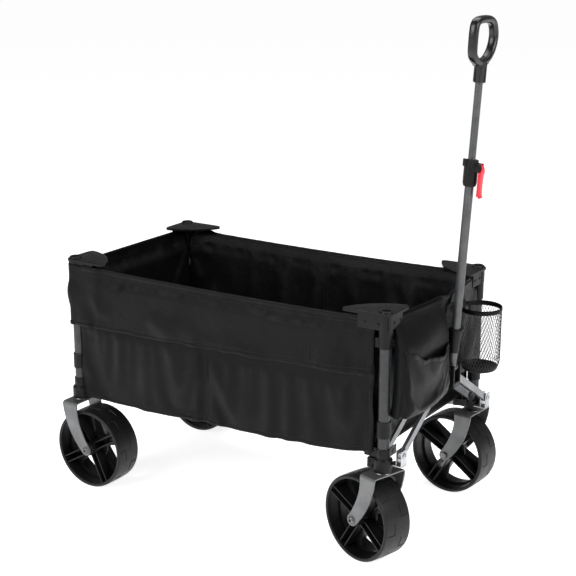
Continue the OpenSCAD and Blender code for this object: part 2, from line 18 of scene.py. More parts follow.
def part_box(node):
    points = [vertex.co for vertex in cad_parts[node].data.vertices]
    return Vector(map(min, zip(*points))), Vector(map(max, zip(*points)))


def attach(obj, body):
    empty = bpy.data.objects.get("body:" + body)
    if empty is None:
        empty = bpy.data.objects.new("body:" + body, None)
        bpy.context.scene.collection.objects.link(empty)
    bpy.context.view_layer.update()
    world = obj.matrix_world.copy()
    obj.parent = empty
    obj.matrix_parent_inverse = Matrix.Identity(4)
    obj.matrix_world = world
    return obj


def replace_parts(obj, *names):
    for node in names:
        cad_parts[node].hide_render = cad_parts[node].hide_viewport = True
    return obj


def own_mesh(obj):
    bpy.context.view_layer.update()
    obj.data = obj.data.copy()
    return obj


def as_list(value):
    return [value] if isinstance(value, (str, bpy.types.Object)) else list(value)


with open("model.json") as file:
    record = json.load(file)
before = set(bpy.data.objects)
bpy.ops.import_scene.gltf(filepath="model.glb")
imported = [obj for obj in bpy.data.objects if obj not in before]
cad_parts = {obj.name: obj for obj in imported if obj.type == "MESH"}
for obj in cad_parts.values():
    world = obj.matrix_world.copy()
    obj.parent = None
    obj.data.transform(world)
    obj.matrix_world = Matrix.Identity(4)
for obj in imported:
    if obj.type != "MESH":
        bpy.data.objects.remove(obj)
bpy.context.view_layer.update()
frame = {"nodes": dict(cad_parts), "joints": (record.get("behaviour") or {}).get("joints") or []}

# %% [markdown]
# ## Where things are
#
# Nearly every place on the wagon follows from its four corner posts, so those
# are read from the frame once. A corner has a short name: r or f for rear or
# front, then r or l for right or left. Its own axes point outwards, so one set
# of numbers serves all four corners.

# %% Corners
MM = 0.001
CORNERS = {"rr": (-1, -1), "rl": (-1, 1), "fr": (1, -1), "fl": (1, 1)}


def middle(node):
    low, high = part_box(node)
    return (low + high) / 2


POSTS = {name: middle("post_" + name) for name in CORNERS}
REAR_X, FRONT_X = POSTS["rr"].x, POSTS["fr"].x
HALF_Y = POSTS["fl"].y
FLOOR_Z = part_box("floor_panel_right")[1].z
RIM_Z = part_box("side_panel_right")[1].z


def corner_frame(name):
    """The matrix from a corner's own axes, pointing outwards, to the wagon's."""
    sx, sy = CORNERS[name]
    place = Matrix.Translation((POSTS[name].x, POSTS[name].y, 0))
    return place @ Matrix.Diagonal((sx, sy, 1, 1))


print(f"posts at x {REAR_X:.3f} and {FRONT_X:.3f}, y {HALF_Y:.3f} either side")

# %% [markdown]
# ## The camera
#
# The wagon is seen from its right and a little from the front, from about eye
# height, with a long lens that keeps its sides nearly parallel.

# %% Camera
lens = bpy.data.cameras.new("camera")
lens.lens = 83.65
lens.sensor_width = 36
camera = bpy.data.objects.new("camera", lens)
camera.location = (1.6174, -2.4994, 1.3342)
camera.rotation_euler = (math.radians(74.32), 0, math.radians(32.83))
bpy.context.scene.collection.objects.link(camera)
bpy.context.scene.camera = camera

# %% [markdown]
# ## The floor and the light
#
# Black fabric shows its folds only by what it reflects, so the light is large
# and soft: a broad panel over the right side, a second behind the front corner
# and a pale world that fills the rest. The floor is one large pale plane.

# %% Floor and lights
floor_mesh = bpy.data.meshes.new("studio_floor")
shape = bmesh.new()
bmesh.ops.create_grid(shape, x_segments=1, y_segments=1, size=20)
shape.to_mesh(floor_mesh)
shape.free()
studio_floor = bpy.data.objects.new("studio_floor", floor_mesh)
bpy.context.scene.collection.objects.link(studio_floor)
pale = bpy.data.materials.new("pale_floor")
pale.use_nodes = True
pale.node_tree.nodes["Principled BSDF"].inputs["Base Color"].default_value = (0.9, 0.9, 0.9, 1)
pale.node_tree.nodes["Principled BSDF"].inputs["Roughness"].default_value = 0.9
pale.node_tree.nodes["Principled BSDF"].inputs["Emission Color"].default_value = (1, 1, 1, 1)
pale.node_tree.nodes["Principled BSDF"].inputs["Emission Strength"].default_value = 0.8
floor_mesh.materials.append(pale)

world = bpy.data.worlds.new("studio")
world.use_nodes = True
world.node_tree.nodes["Background"].inputs["Color"].default_value = (1, 1, 1, 1)
world.node_tree.nodes["Background"].inputs["Strength"].default_value = 0.2
bpy.context.scene.world = world
bpy.context.scene.view_settings.view_transform = "Standard"


def panel_light(name, place, target, width, height, power):
    """A soft box that faces a point."""
    light = bpy.data.lights.new(name, "AREA")
    light.shape = "RECTANGLE"
    light.size = width
    light.size_y = height
    light.energy = power
    lamp = bpy.data.objects.new(name, light)
    lamp.location = place
    aim = Vector(target) - Vector(place)
    lamp.rotation_euler = aim.to_track_quat("-Z", "Y").to_euler()
    bpy.context.scene.collection.objects.link(lamp)
    return lamp


panel_light("side_panel_light", (-0.9, -2.6, 1.9), (0, 0, 0.35), 2.2, 1.6, 60)
panel_light("front_panel_light", (2.6, -0.4, 1.8), (0.3, 0, 0.3), 1.8, 1.6, 45)
panel_light("top_light", (0.0, 0.6, 2.8), (0, 0, 0.4), 2.4, 1.6, 40)

# %% [markdown]
# ## Finishes
#
# Every finish starts from the same shader, with a little change of colour and
# gloss from place to place and a fine bump. Patterns read object coordinates,
# which are metres here, so a scale of 1000 makes a grain about a millimetre
# across on every piece, whatever its size.

# %% Material helpers


def new_finish(name, color, roughness, metallic=0.0, **sockets):
    """A material, with its node tree and its shader, ready for a pattern."""
    finish = bpy.data.materials.new(name)
    finish.use_nodes = True
    tree = finish.node_tree
    shader = tree.nodes["Principled BSDF"]
    shader.inputs["Base Color"].default_value = (*color, 1)
    shader.inputs["Roughness"].default_value = roughness
    shader.inputs["Metallic"].default_value = metallic
    for socket, value in sockets.items():
        shader.inputs[socket.replace("_", " ")].default_value = value
    return finish, tree, shader


def pattern_space(tree, stretch=(1, 1, 1), source="Object"):
    """Coordinates in metres, stretched along the axes."""
    where = tree.nodes.new("ShaderNodeTexCoord")
    mapping = tree.nodes.new("ShaderNodeMapping")
    mapping.inputs["Scale"].default_value = stretch
    tree.links.new(where.outputs[source], mapping.inputs["Vector"])
    return mapping.outputs["Vector"]


def cloud(tree, space, scale, detail=3.0, roughness=0.55):
    texture = tree.nodes.new("ShaderNodeTexNoise")
    texture.inputs["Scale"].default_value = scale
    texture.inputs["Detail"].default_value = detail
    texture.inputs["Roughness"].default_value = roughness
    tree.links.new(space, texture.inputs["Vector"])
    return texture.outputs["Fac"]


def ramp(tree, value, stops):
    """Colours along a value, as (position, colour or grey) stops."""
    node = tree.nodes.new("ShaderNodeValToRGB")
    points = node.color_ramp.elements
    while len(points) < len(stops):
        points.new(1.0)
    for point, (position, color) in zip(points, stops):
        point.position = position
        point.color = (*color, 1) if isinstance(color, tuple) else (color,) * 3 + (1,)
    tree.links.new(value, node.inputs["Fac"])
    return node.outputs["Color"]


def add_bump(tree, shader, height, distance, strength=1.0, under=None):
    bump = tree.nodes.new("ShaderNodeBump")
    bump.inputs["Distance"].default_value = distance
    bump.inputs["Strength"].default_value = strength
    tree.links.new(height, bump.inputs["Height"])
    if under is not None:
        tree.links.new(under, bump.inputs["Normal"])
    tree.links.new(bump.outputs["Normal"], shader.inputs["Normal"])
    return bump.outputs["Normal"]


def scaled(color, factor):
    return tuple(min(1.0, c * factor) for c in color)


def grained(name, color, roughness, grain, depth, spread=0.25, patch=14, metallic=0.0,
            stretch=(1, 1, 1),
            **sockets):
    """A finish with soft patches of colour and gloss and a fine grain."""
    finish, tree, shader = new_finish(name, color, roughness, metallic, **sockets)
    space = pattern_space(tree)
    patches = cloud(tree, space, patch, 4.0, 0.6)
    tones = ramp(tree, patches, [(0.3, scaled(color, 1 - spread)),
                                 (0.7, scaled(color, 1 + spread))])
    tree.links.new(tones, shader.inputs["Base Color"])
    gloss = ramp(tree, cloud(tree, space, patch * 3, 3.0),
                 [(0.3, roughness - 0.06), (0.7, roughness + 0.08)])
    tree.links.new(gloss, shader.inputs["Roughness"])
    grit = cloud(tree, pattern_space(tree, stretch), grain, 2.0)
    add_bump(tree, shader, grit, depth)
    return finish


# %% [markdown]
# ### Plastics and metals
#
# The corner fittings are glass-filled nylon with a fine spark grain. The tubes
# are powder coated, which leaves a faint orange peel. The sliding tubes are
# brushed along their length, and the forks have a smooth gunmetal paint.

# %% Plastics and metals
black_plastic = grained("black_plastic", (0.004, 0.004, 0.0044), 0.38, 1300, 0.00025,
                        Specular_IOR_Level=0.2)
post_steel = grained("post_steel", (0.04, 0.042, 0.045), 0.38, 500, 0.0002, patch=30, metallic=0.55)
bar_steel = grained("bar_steel", (0.2, 0.205, 0.215), 0.36, 520, 0.0002, patch=22, metallic=0.8)
handle_steel = grained("handle_steel", (0.085, 0.087, 0.09), 0.36, 500, 0.0002, patch=26,
                       metallic=0.6)
slider_steel = grained(
    "slider_steel", (0.4, 0.41, 0.43), 0.3, 900, 0.0002, patch=30, metallic=1.0,
    stretch=(1, 1, 0.03)
)
fork_steel = grained("fork_steel", (0.15, 0.152, 0.155), 0.4, 420, 0.00015, patch=18, metallic=0.65)
bolt_steel = grained("bolt_steel", (0.16, 0.16, 0.165), 0.34, 800, 0.0001, patch=60, metallic=0.95)
clevis_steel = grained("clevis_steel", (0.42, 0.43, 0.44), 0.34, 600, 0.00015, patch=40,
                       metallic=0.95)
wheel_plastic = grained("wheel_plastic", (0.007, 0.007, 0.0075), 0.4, 900, 0.0002, patch=26,
                        Specular_IOR_Level=0.25)
grip_plastic = grained("grip_plastic", (0.005, 0.005, 0.0055), 0.24, 700, 0.0001, patch=30)
lever_plastic = grained("lever_plastic", (0.68, 0.012, 0.03), 0.3, 700, 0.0001, 0.12, 40)

# %% [markdown]
# ### Woven polyester
#
# The tub is plain-woven polyester, coated on its back. Warp and weft are two
# sets of ridges at right angles that follow the sheet's own coordinates, so
# the weave turns with the cloth round every fold. A sheen gives the pale
# bloom that black cloth has at grazing angles, and slow clouds of tone stand
# for handling marks and fading.

# %% Cloth materials


def ridges(tree, space, direction, pitch):
    """Even ridges a pitch apart along one direction."""
    wave = tree.nodes.new("ShaderNodeTexWave")
    wave.wave_type = "BANDS"
    wave.bands_direction = direction
    wave.inputs["Scale"].default_value = math.tau / (20 * pitch)
    wave.inputs["Distortion"].default_value = 0.6
    wave.inputs["Detail"].default_value = 1.0
    wave.inputs["Detail Scale"].default_value = 2.0
    tree.links.new(space, wave.inputs["Vector"])
    return wave.outputs["Fac"]


def combine(tree, operation, a, b):
    node = tree.nodes.new("ShaderNodeMath")
    node.operation = operation
    tree.links.new(a, node.inputs[0])
    if isinstance(b, float):
        node.inputs[1].default_value = b
    else:
        tree.links.new(b, node.inputs[1])
    return node.outputs["Value"]


def woven(name, color, roughness, pitch, sheen, crease=0.0012):
    finish, tree, shader = new_finish(
        name, color, roughness, Sheen_Weight=sheen, Sheen_Roughness=0.45, Specular_IOR_Level=0.12
    )
    shader.inputs["Sheen Tint"].default_value = (0.7, 0.72, 0.75, 1)
    along = pattern_space(tree, source="UV")
    weave = combine(
        tree, "MAXIMUM", ridges(tree, along, "X", pitch), ridges(tree, along, "Y", pitch)
    )
    space = pattern_space(tree)
    clouds = combine(tree, "MULTIPLY", cloud(tree, space, 7, 5.0, 0.6), 1.0)
    tones = ramp(tree, clouds, [(0.3, scaled(color, 0.72)), (0.7, scaled(color, 1.35))])
    tree.links.new(tones, shader.inputs["Base Color"])
    gloss = ramp(tree, cloud(tree, space, 16, 4.0), [(0.3, roughness - 0.1),
                                                     (0.7, roughness + 0.1)])
    tree.links.new(gloss, shader.inputs["Roughness"])
    soft = add_bump(tree, shader, cloud(tree, space, 24, 5.0, 0.62), crease * 3, 0.5)
    add_bump(tree, shader, weave, pitch * 0.12, 0.7, under=soft)
    return finish


tub_fabric = woven("tub_fabric", (0.0022, 0.0022, 0.0024), 0.42, 1.4 * MM, 0.02)
hem_fabric = woven("hem_fabric", (0.003, 0.003, 0.0033), 0.42, 1.0 * MM, 0.02, 0.0006)
thread = grained("thread", (0.014, 0.014, 0.015), 0.5, 1500, 0.0001, patch=80)
mesh_fabric = grained("mesh_fabric", (0.015, 0.015, 0.016), 0.45, 1500, 0.0001, patch=60)
print(len(bpy.data.materials), "materials so far")

# %% Dress the frame
FRAME_FINISHES = {
    "post": (post_steel, "post_steel"),
    "slider_tube": (slider_steel, "slider_steel"),
    "rising_bar": (bar_steel, "bar_steel"),
    "hanging_bar": (bar_steel, "bar_steel"),
    "end_bar": (bar_steel, "bar_steel"),
    "handle_link": (bar_steel, "bar_steel"),
    "floor_arm": (bar_steel, "bar_steel"),
    "floor_hub": (black_plastic, "black_plastic"),
    "fork": (fork_steel, "fork_steel"),
    "axle": (bolt_steel, "bolt_steel"),
    "wheel": (wheel_plastic, "wheel_plastic"),
    "bracket": (black_plastic, "black_plastic"),
    "cap": (black_plastic, "black_plastic"),
    "handle_base": (black_plastic, "black_plastic"),
    "handle_tube": (handle_steel, "handle_steel"),
    "handle_clamp": (black_plastic, "black_plastic"),
    "handle_grip": (grip_plastic, "grip_plastic"),
    "clamp_lever": (lever_plastic, "lever_plastic"),
    "side_panel": (tub_fabric, "tub_fabric"),
    "front_panel": (tub_fabric, "tub_fabric"),
    "rear_panel": (tub_fabric, "tub_fabric"),
    "floor_panel": (tub_fabric, "tub_fabric"),
    "cup_holder": (mesh_fabric, "mesh_fabric"),
}
for node_name, node in frame["nodes"].items():
    stem = max((s for s in FRAME_FINISHES if node_name.startswith(s)), key=len)
    finish, slot_name = FRAME_FINISHES[stem]
    node.data.materials.clear()
    node.data.materials.append(finish)
print("dressed", len(frame["nodes"]), "frame nodes")

# %% [markdown]
# ## Tools for hard pieces
#
# Plates, turned rings and rounded blocks make up every hard fitting, so each
# has one small helper. A shape is built round the origin and then moved to its
# place, and a mirrored place turns its faces the right way out again.

# %% Shape helpers


def moved(shape, matrix):
    """The shape, put in place, with its faces kept outwards if the place is mirrored."""
    bmesh.ops.transform(shape, matrix=matrix, verts=shape.verts)
    if matrix.determinant() < 0:
        bmesh.ops.reverse_faces(shape, faces=shape.faces)
    return shape


def joined(*shapes):
    """One shape from several."""
    whole = bmesh.new()
    for shape in shapes:
        carrier = bpy.data.meshes.new("carrier")
        shape.to_mesh(carrier)
        shape.free()
        whole.from_mesh(carrier)
        bpy.data.meshes.remove(carrier)
    return whole


def turned(profile, steps=40, closed=False):
    """A shape turned about Z from (radius, height) points in millimetres."""
    shape = bmesh.new()
    points = [shape.verts.new((r * MM, 0, h * MM)) for r, h in profile]
    pairs = list(zip(points, points[1:]))
    if closed:
        pairs.append((points[-1], points[0]))
    lines = [shape.edges.new(pair) for pair in pairs]
    bmesh.ops.spin(
        shape, geom=points + lines, cent=(0, 0, 0), axis=(0, 0, 1), angle=math.tau, steps=steps,
        use_merge=True
    )
    bmesh.ops.remove_doubles(shape, verts=shape.verts, dist=1e-6)
    bmesh.ops.recalc_face_normals(shape, faces=shape.faces)
    return shape


def block(low, high, edge=1.0, segments=2):
    """A box between two corners in millimetres, with rounded edges."""
    shape = bmesh.new()
    bmesh.ops.create_cube(shape, size=1.0)
    low, high = Vector(low) * MM, Vector(high) * MM
    size = high - low
    place = Matrix.Translation((low + high) / 2) @ Matrix.Diagonal((*size, 1))
    bmesh.ops.transform(shape, matrix=place, verts=shape.verts)
    if edge:
        bmesh.ops.bevel(
            shape, geom=shape.edges[:], offset=edge * MM, offset_type="OFFSET", affect="EDGES",
            segments=segments, profile=0.5, material=-1,
        )
    return shape


def soften(shape, width, angle=35, segments=2):
    """Rounds every edge sharper than an angle."""
    sharp = [e for e in shape.edges if e.is_manifold and e.calc_face_angle(0) > math.radians(angle)]
    bmesh.ops.bevel(
        shape, geom=sharp, offset=width * MM, offset_type="OFFSET", affect="EDGES",
        segments=segments,
        profile=0.5, material=-1, clamp_overlap=True,
    )
    return shape


def new_object(name, shape, finish, smooth_angle=40):
    mesh = bpy.data.meshes.new(name)
    shape.to_mesh(mesh)
    shape.free()
    mesh.materials.append(finish)
    mesh.polygons.foreach_set("use_smooth", [True] * len(mesh.polygons))
    mesh.set_sharp_from_angle(angle=math.radians(smooth_angle))
    piece = bpy.data.objects.new(name, mesh)
    bpy.context.scene.collection.objects.link(piece)
    return piece


def fitting(name, shape, finish, body, slot_name, *stands_for):
    """A finished hard piece that rides on a body and stands for frame nodes."""
    piece = new_object(name, shape, finish)
    even = piece.modifiers.new("even_shading", "WEIGHTED_NORMAL")
    even.keep_sharp = True
    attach(piece, body)
    if stands_for:
        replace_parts(piece, *stands_for)
    return piece


TURN_TO_Y = Matrix.Rotation(math.radians(90), 4, "X")
TURN_TO_X = Matrix.Rotation(math.radians(90), 4, "Y")


def shift(x, y, z):
    return Matrix.Translation(Vector((x, y, z)) * MM)


def rivet(radius, height):
    """A low domed rivet head, standing on the plane of X and Y."""
    return turned([(0, height), (radius * 0.55, height * 0.9), (radius * 0.9, height * 0.45),
                   (radius, 0), (0, 0)], 20)


def socket_bolt(radius, height):
    """A button-head bolt with a hexagon socket."""
    head = turned(
        [(radius * 0.42, height * 0.3), (radius * 0.42, height * 0.95), (radius * 0.55, height),
         (radius * 0.8, height * 0.85), (radius, height * 0.4), (radius, 0), (0, 0),
         (0, height * 0.3)],
        24,
    )
    return joined(head, turned([(radius * 1.35, 0.9), (radius * 1.35, 0), (radius * 0.5, 0),
                                (radius * 0.5, 0.9)],
                               28, closed=True))


# %% [markdown]
# ## Wheels
#
# Each wheel is one wide moulding: a tread with shallow stepped grooves, a thin
# web in its middle plane with four windows and four slits, and four pairs of
# fins that run from the hub to the edge of the rim. The rim and hub are turned,
# the windows are cells left out of a polar grid, whose corners are then
# smoothed, and the grooves are runs of tread faces inset downwards.

# %% Wheel shape
WHEEL_R = 96
RIM_STEPS, GROOVES = 144, 16


def wheel_rim():
    shape = turned(
        [(87, -34.5), (89, -36), (92.5, -36), (94.6, -34.4), (95.4, -30), (95.9, -12), (96, -8.5),
         (96, 8.5),
         (95.9, 12), (95.4, 30), (94.6, 34.4), (92.5, 36), (89, 36), (87, 34.5), (86, 28),
         (85.4, 4),
         (85.4, -4), (86, -28)],
        RIM_STEPS, closed=True,
    )
    cells = {}
    for face in shape.faces:
        spot = face.calc_center_median()
        if math.hypot(spot.x, spot.y) > 95 * MM:
            step = int((math.atan2(spot.y, spot.x) % math.tau) / math.tau * RIM_STEPS)
            cells[step, round(spot.z / MM)] = face
    across, along = {round(h) for _, h in cells if 15 < abs(h) < 25}, {h for _,
        h in cells if 9 < abs(h) < 12}
    for k in range(GROOVES):
        side = 1 if k % 2 else -1
        start = k * RIM_STEPS // GROOVES
        groove = [cells[start, h] for h in across if h * side > 0]
        groove += [cells[(start + i) % RIM_STEPS, h] for i in range(7) for h in along
                   if h * side > 0]
        bmesh.ops.inset_region(shape, faces=groove, thickness=0.7 * MM, depth=-1.1 * MM,
                               use_even_offset=True)
    return shape


def wheel_web():
    """A disc of polar cells with the windows and slits left out, given its thickness."""
    rings = [15, 24, 33, 41, 49, 57, 65, 73, 79, 86.5]
    shape = bmesh.new()
    points = [shape.verts.new((r * MM, 0, 0)) for r in rings]
    lines = [shape.edges.new(pair) for pair in zip(points, points[1:])]
    bmesh.ops.spin(
        shape, geom=points + lines, cent=(0, 0, 0), axis=(0, 0, 1), angle=math.tau, steps=72,
        use_merge=True
    )
    holes = []
    for face in shape.faces:
        spot = face.calc_center_median()
        radius = math.hypot(spot.x, spot.y) / MM
        off = math.degrees(math.atan2(spot.y, spot.x)) % 90
        window = 33 < radius < 79 and 20 < off < 70
        slit = 41 < radius < 73 and min(off, 90 - off) < 5
        if window or slit:
            holes.append(face)
    bmesh.ops.delete(shape, geom=holes, context="FACES")
    bmesh.ops.subdivide_edges(shape, edges=shape.edges[:], cuts=1, use_grid_fill=True)
    edge_points = [v for v in shape.verts if v.is_boundary and 20 * MM < v.co.length < 82 * MM]
    for _ in range(5):
        bmesh.ops.smooth_vert(
            shape, verts=edge_points, factor=0.5, use_axis_x=True, use_axis_y=True, use_axis_z=True
        )
    bmesh.ops.recalc_face_normals(shape, faces=shape.faces)
    bmesh.ops.solidify(shape, geom=shape.faces[:], thickness=5 * MM)
    middle_z = sum(v.co.z for v in shape.verts) / len(shape.verts)
    bmesh.ops.translate(shape, vec=(0, 0, -middle_z), verts=shape.verts)
    return shape


def wheel_fin(angle, side):
    """One fin beside a spoke line, taller at the rim than at the hub."""
    fin = block((14, side * 8 - 1.4, -33), (87, side * 8 + 1.4, 33), 0)
    for vertex in fin.verts:
        if vertex.co.x < 40 * MM:
            vertex.co.z *= 0.8
    soften(fin, 0.5)
    return moved(fin, Matrix.Rotation(math.radians(angle), 4, "Z"))


def wheel_shape():
    hub = turned(
        [(5.2, -40), (11, -40), (14.5, -38.5), (16, -34), (17.5, -8), (17.5, 8), (16, 34),
         (14.5, 38.5),
         (11, 40), (5.2, 40)], 48, closed=True,
    )
    fins = [wheel_fin(angle, side) for angle in (0, 90, 180, 270) for side in (-1, 1)]
    return joined(wheel_rim(), wheel_web(), hub, *fins)


# %% Wheels in place


def caster_frame(name):
    """The matrix from a fork's own axes, with its wheel on the -X side, to the wagon's."""
    post, hub = POSTS[name], middle("wheel_" + name)
    side = 1 if hub.x < post.x else -1
    turn = math.atan2((post.y - hub.y) * side, (post.x - hub.x) * side)
    place = Matrix.Translation((post.x, post.y, 0)) @ Matrix.Rotation(turn, 4, "Z")
    return place @ Matrix.Diagonal((side, 1, 1, 1))


FORK_OFFSET = 46
for name in CORNERS:
    place = caster_frame(name) @ shift(-FORK_OFFSET, 0, WHEEL_R)
    place = place @ Matrix.Rotation(math.radians(30), 4, "Y") @ TURN_TO_Y
    fitting(
        "road_wheel_" + name, moved(wheel_shape(), place), wheel_plastic, "wheel_" + name,
        "wheel_plastic",
        "wheel_" + name,
    )
print("made four wheels")

# %% [markdown]
# ## Forks
#
# A fork is one strip of steel, bent down at both sides of the wheel. Its legs
# sweep back to the axle and end in a round eye. It is made the same way: an
# edge as wide as the strip is extruded along the bent path, and the sheet then
# gets its thickness and a fine rounded edge.

# %% Fork shape
PLATE_Z = 208
FORK_Y = 43.75


def fork_leg_stations():
    """(centre x, centre z, half width, tilt of the edge) down one leg, in millimetres."""
    down = [(-1, 201, 21.5, 0), (-2, 188, 20.5, 2), (-5, 172, 19, 8), (-10, 156, 18, 18),
            (-17, 140, 17, 30),
            (-26, 124, 16, 40), (-35, 110, 14.8, 46), (-FORK_OFFSET, WHEEL_R, 13.5, 48)]
    x, z, half, tilt = down[-1]
    along = Vector((-math.sin(math.radians(tilt)), -math.cos(math.radians(tilt))))
    for turn in (18, 36, 54, 72, 86):
        reach = half * math.sin(math.radians(turn))
        down.append((x + along.x * reach, z + along.y * reach, half * math.cos(math.radians(turn)),
                     tilt))
    return down


def fork_shape():
    leg = [(x, FORK_Y, z, half, tilt) for x, z, half, tilt in fork_leg_stations()]
    bend = 5
    corner = [
        (-1, FORK_Y - bend * (1 - math.cos(math.radians(a))),
         PLATE_Z - bend * (1 - math.sin(math.radians(a))),
         21.8, 0)
        for a in (0, 30, 60, 90)
    ]
    half_path = leg[::-1] + corner
    path = half_path + [(x, -y, z, half, tilt) for x, y, z, half, tilt in half_path[::-1]]
    shape = bmesh.new()
    edge = None
    for x, y, z, half, tilt in path:
        across = Vector((math.cos(math.radians(tilt)), 0, -math.sin(math.radians(tilt)))) * half
        ends = [Vector((x, y, z)) - across, Vector((x, y, z)) + across]
        if edge is None:
            edge = shape.edges.new([shape.verts.new(end * MM) for end in ends])
            order = list(edge.verts)
            continue
        grown = bmesh.ops.extrude_edge_only(shape, edges=[edge])["geom"]
        edge = next(item for item in grown if isinstance(item, bmesh.types.BMEdge))
        order = [next(v for v in edge.verts if any(e.other_vert(v) is old for e in v.link_edges))
                 for old in order]
        for vertex, end in zip(order, ends):
            vertex.co = end * MM
    bmesh.ops.recalc_face_normals(shape, faces=shape.faces)
    return shape


def axle_shape():
    """A bolt through the hub with a button head on one side and a lock nut on the other."""
    rod = turned([(0, -47), (5, -47), (5, 47), (0, 47)], 24)
    head = moved(socket_bolt(8.2, 4.5), shift(0, 0, 45.6))
    nut = bmesh.new()
    bmesh.ops.create_cone(nut, cap_ends=True, segments=6, radius1=8.5 * MM, radius2=8.5 * MM,
                          depth=5 * MM)
    soften(nut, 0.5)
    return joined(rod, head, moved(nut, shift(0, 0, -48.1)))


# %% Forks in place
for name in CORNERS:
    place = caster_frame(name)
    holder = "caster_" + name if name.startswith("f") else "corner_" + name
    fork = fitting("swept_fork_" + name, moved(fork_shape(), place), fork_steel, holder,
                   "fork_steel", "fork_" + name)
    sheet = fork.modifiers.new("sheet", "SOLIDIFY")
    sheet.thickness = 3.5 * MM
    sheet.offset = 0
    edge = fork.modifiers.new("edge", "BEVEL")
    edge.width = 0.9 * MM
    edge.segments = 2
    edge.limit_method = "ANGLE"
    edge.angle_limit = math.radians(50)
    fork.modifiers.move(0, 2)
    near = 1 if name.endswith("l") else -1
    axle_place = place @ shift(-FORK_OFFSET, 0, WHEEL_R) @ Matrix.Diagonal((1, near, 1, 1))
    axle_place = axle_place @ Matrix.Rotation(math.radians(-90), 4, "X")
    fitting("axle_bolt_" + name, moved(axle_shape(), axle_place), bolt_steel, holder, "bolt_steel",
            "axle_" + name)
    race = turned([(0, 204), (19, 204), (20.5, 206), (20.5, 207), (19.5, 210.5), (17.5, 212.2),
                   (0, 212.2)], 40)
    fitting("caster_race_" + name, moved(race, place), bolt_steel, holder, "bolt_steel")
print("made four forks with their axles")

# %% [markdown]
# ## Corner caps
#
# A cap is a nylon moulding: a winged top plate that ties the two rims of the
# tub together, a skirt down both outer faces with rivets through it, a collar
# round the post and lugs for the upper pivots. The plate is crowned: its top
# face is inset and raised twice, which rounds its edge, then lifted at its middle.

# %% Swept shapes and caps


def frames_along(points, up=(0, 0, 1)):
    """A matrix at each point of a line: X to its side, Y up and Z along it."""
    points = [Vector(p) for p in points]
    frames = []
    for i, point in enumerate(points):
        along = (points[min(i + 1, len(points) - 1)] - points[max(i - 1, 0)]).normalized()
        side = along.cross(Vector(up)).normalized()
        lift = side.cross(along)
        turn = Matrix((side, lift, along)).transposed().to_4x4()
        frames.append(Matrix.Translation(point) @ turn)
    return frames


def swept(frames, radii, steps=12, squareness=0.0, closed=False):
    """A closed bar along frames.

    radii gives its half width and half height, in mm, at a share of its length.
    """
    shape = bmesh.new()
    ring = bmesh.ops.create_circle(shape, cap_ends=False, segments=steps, radius=1.0)["verts"]
    start = [v.co.copy() for v in ring]
    edges = shape.edges[:]
    for i, frame_at in enumerate(frames):
        if i:
            grown = bmesh.ops.extrude_edge_only(shape, edges=edges)["geom"]
            edges = [item for item in grown if isinstance(item, bmesh.types.BMEdge)]
            order = {v: next(e.other_vert(v) for e in v.link_edges if e.other_vert(v) in set(ring))
                     for v in grown if isinstance(v, bmesh.types.BMVert)}
            back = {old: new for new, old in order.items()}
            ring = [back[v] for v in ring]
        wide, high = radii(i / (len(frames) - 1))
        for vertex, spot in zip(ring, start):
            fill = 1 + squareness * abs(math.sin(2 * math.atan2(spot.y, spot.x)))
            vertex.co = frame_at @ Vector((spot.x * wide * fill * MM, spot.y * high * fill * MM, 0))
    if closed:
        first = [e for e in shape.edges if e.is_boundary]
        bmesh.ops.bridge_loops(shape, edges=first)
    else:
        bmesh.ops.holes_fill(shape, edges=[e for e in shape.edges if e.is_boundary], sides=0)
    bmesh.ops.recalc_face_normals(shape, faces=shape.faces)
    return shape


def plate(outline, low, high, crown=0.0, edge=1.0):
    """A flat plate from an outline of (x, y), between two heights, with a crowned top. All in mm."""
    shape = bmesh.new()
    base = shape.faces.new([shape.verts.new((x * MM, y * MM, low * MM)) for x, y in outline])
    grown = bmesh.ops.extrude_face_region(shape, geom=[base])["geom"]
    top = next(item for item in grown if isinstance(item, bmesh.types.BMFace))
    bmesh.ops.translate(shape, vec=(0, 0, (high - low) * MM), verts=top.verts)
    bmesh.ops.recalc_face_normals(shape, faces=shape.faces)
    for wide, rise in ((0.5 * edge, 0.5 * edge), (edge, 0.4 * edge)):
        bmesh.ops.inset_region(shape, faces=[top], thickness=wide * MM, depth=rise * MM)
    bmesh.ops.poke(shape, faces=[top], offset=crown * MM)
    return shape


CAP_OUTLINE = [
    (-93, 15), (-97, 9), (-92, -2), (-82, -18), (-69, -34), (-54, -48), (-38, -59), (-20, -68),
    (-2, -74),
    (9, -75), (15, -70), (17, -58), (17.5, 0), (16, 9), (12, 14), (6, 17), (-3, 17.5), (-60, 17.5),
    (-82, 17),
]
UPPER_Z, LOWER_Z, ARM_Z = 490, 250, 232
PIVOT_IN, END_PIVOT_IN = 30, 25


def side_lug(z):
    """Two plates and the pin of a side pivot."""
    plates = [block((-42, y, z - 9), (-6, y + 2, z + 12), 0.7) for y in (-13, 5)]
    pin = moved(turned([(0, -13.5), (3, -13.5), (3, 7.5), (0, 7.5)], 20), TURN_TO_Y.inverted())
    heads = [moved(rivet(5, 2.2), shift(0, 7, 0) @ TURN_TO_Y.inverted()),
             moved(rivet(5, 2.2), shift(0, -13, 0) @ TURN_TO_Y)]
    return joined(*plates, *[moved(part, shift(-PIVOT_IN, 0, z)) for part in (pin, *heads)])


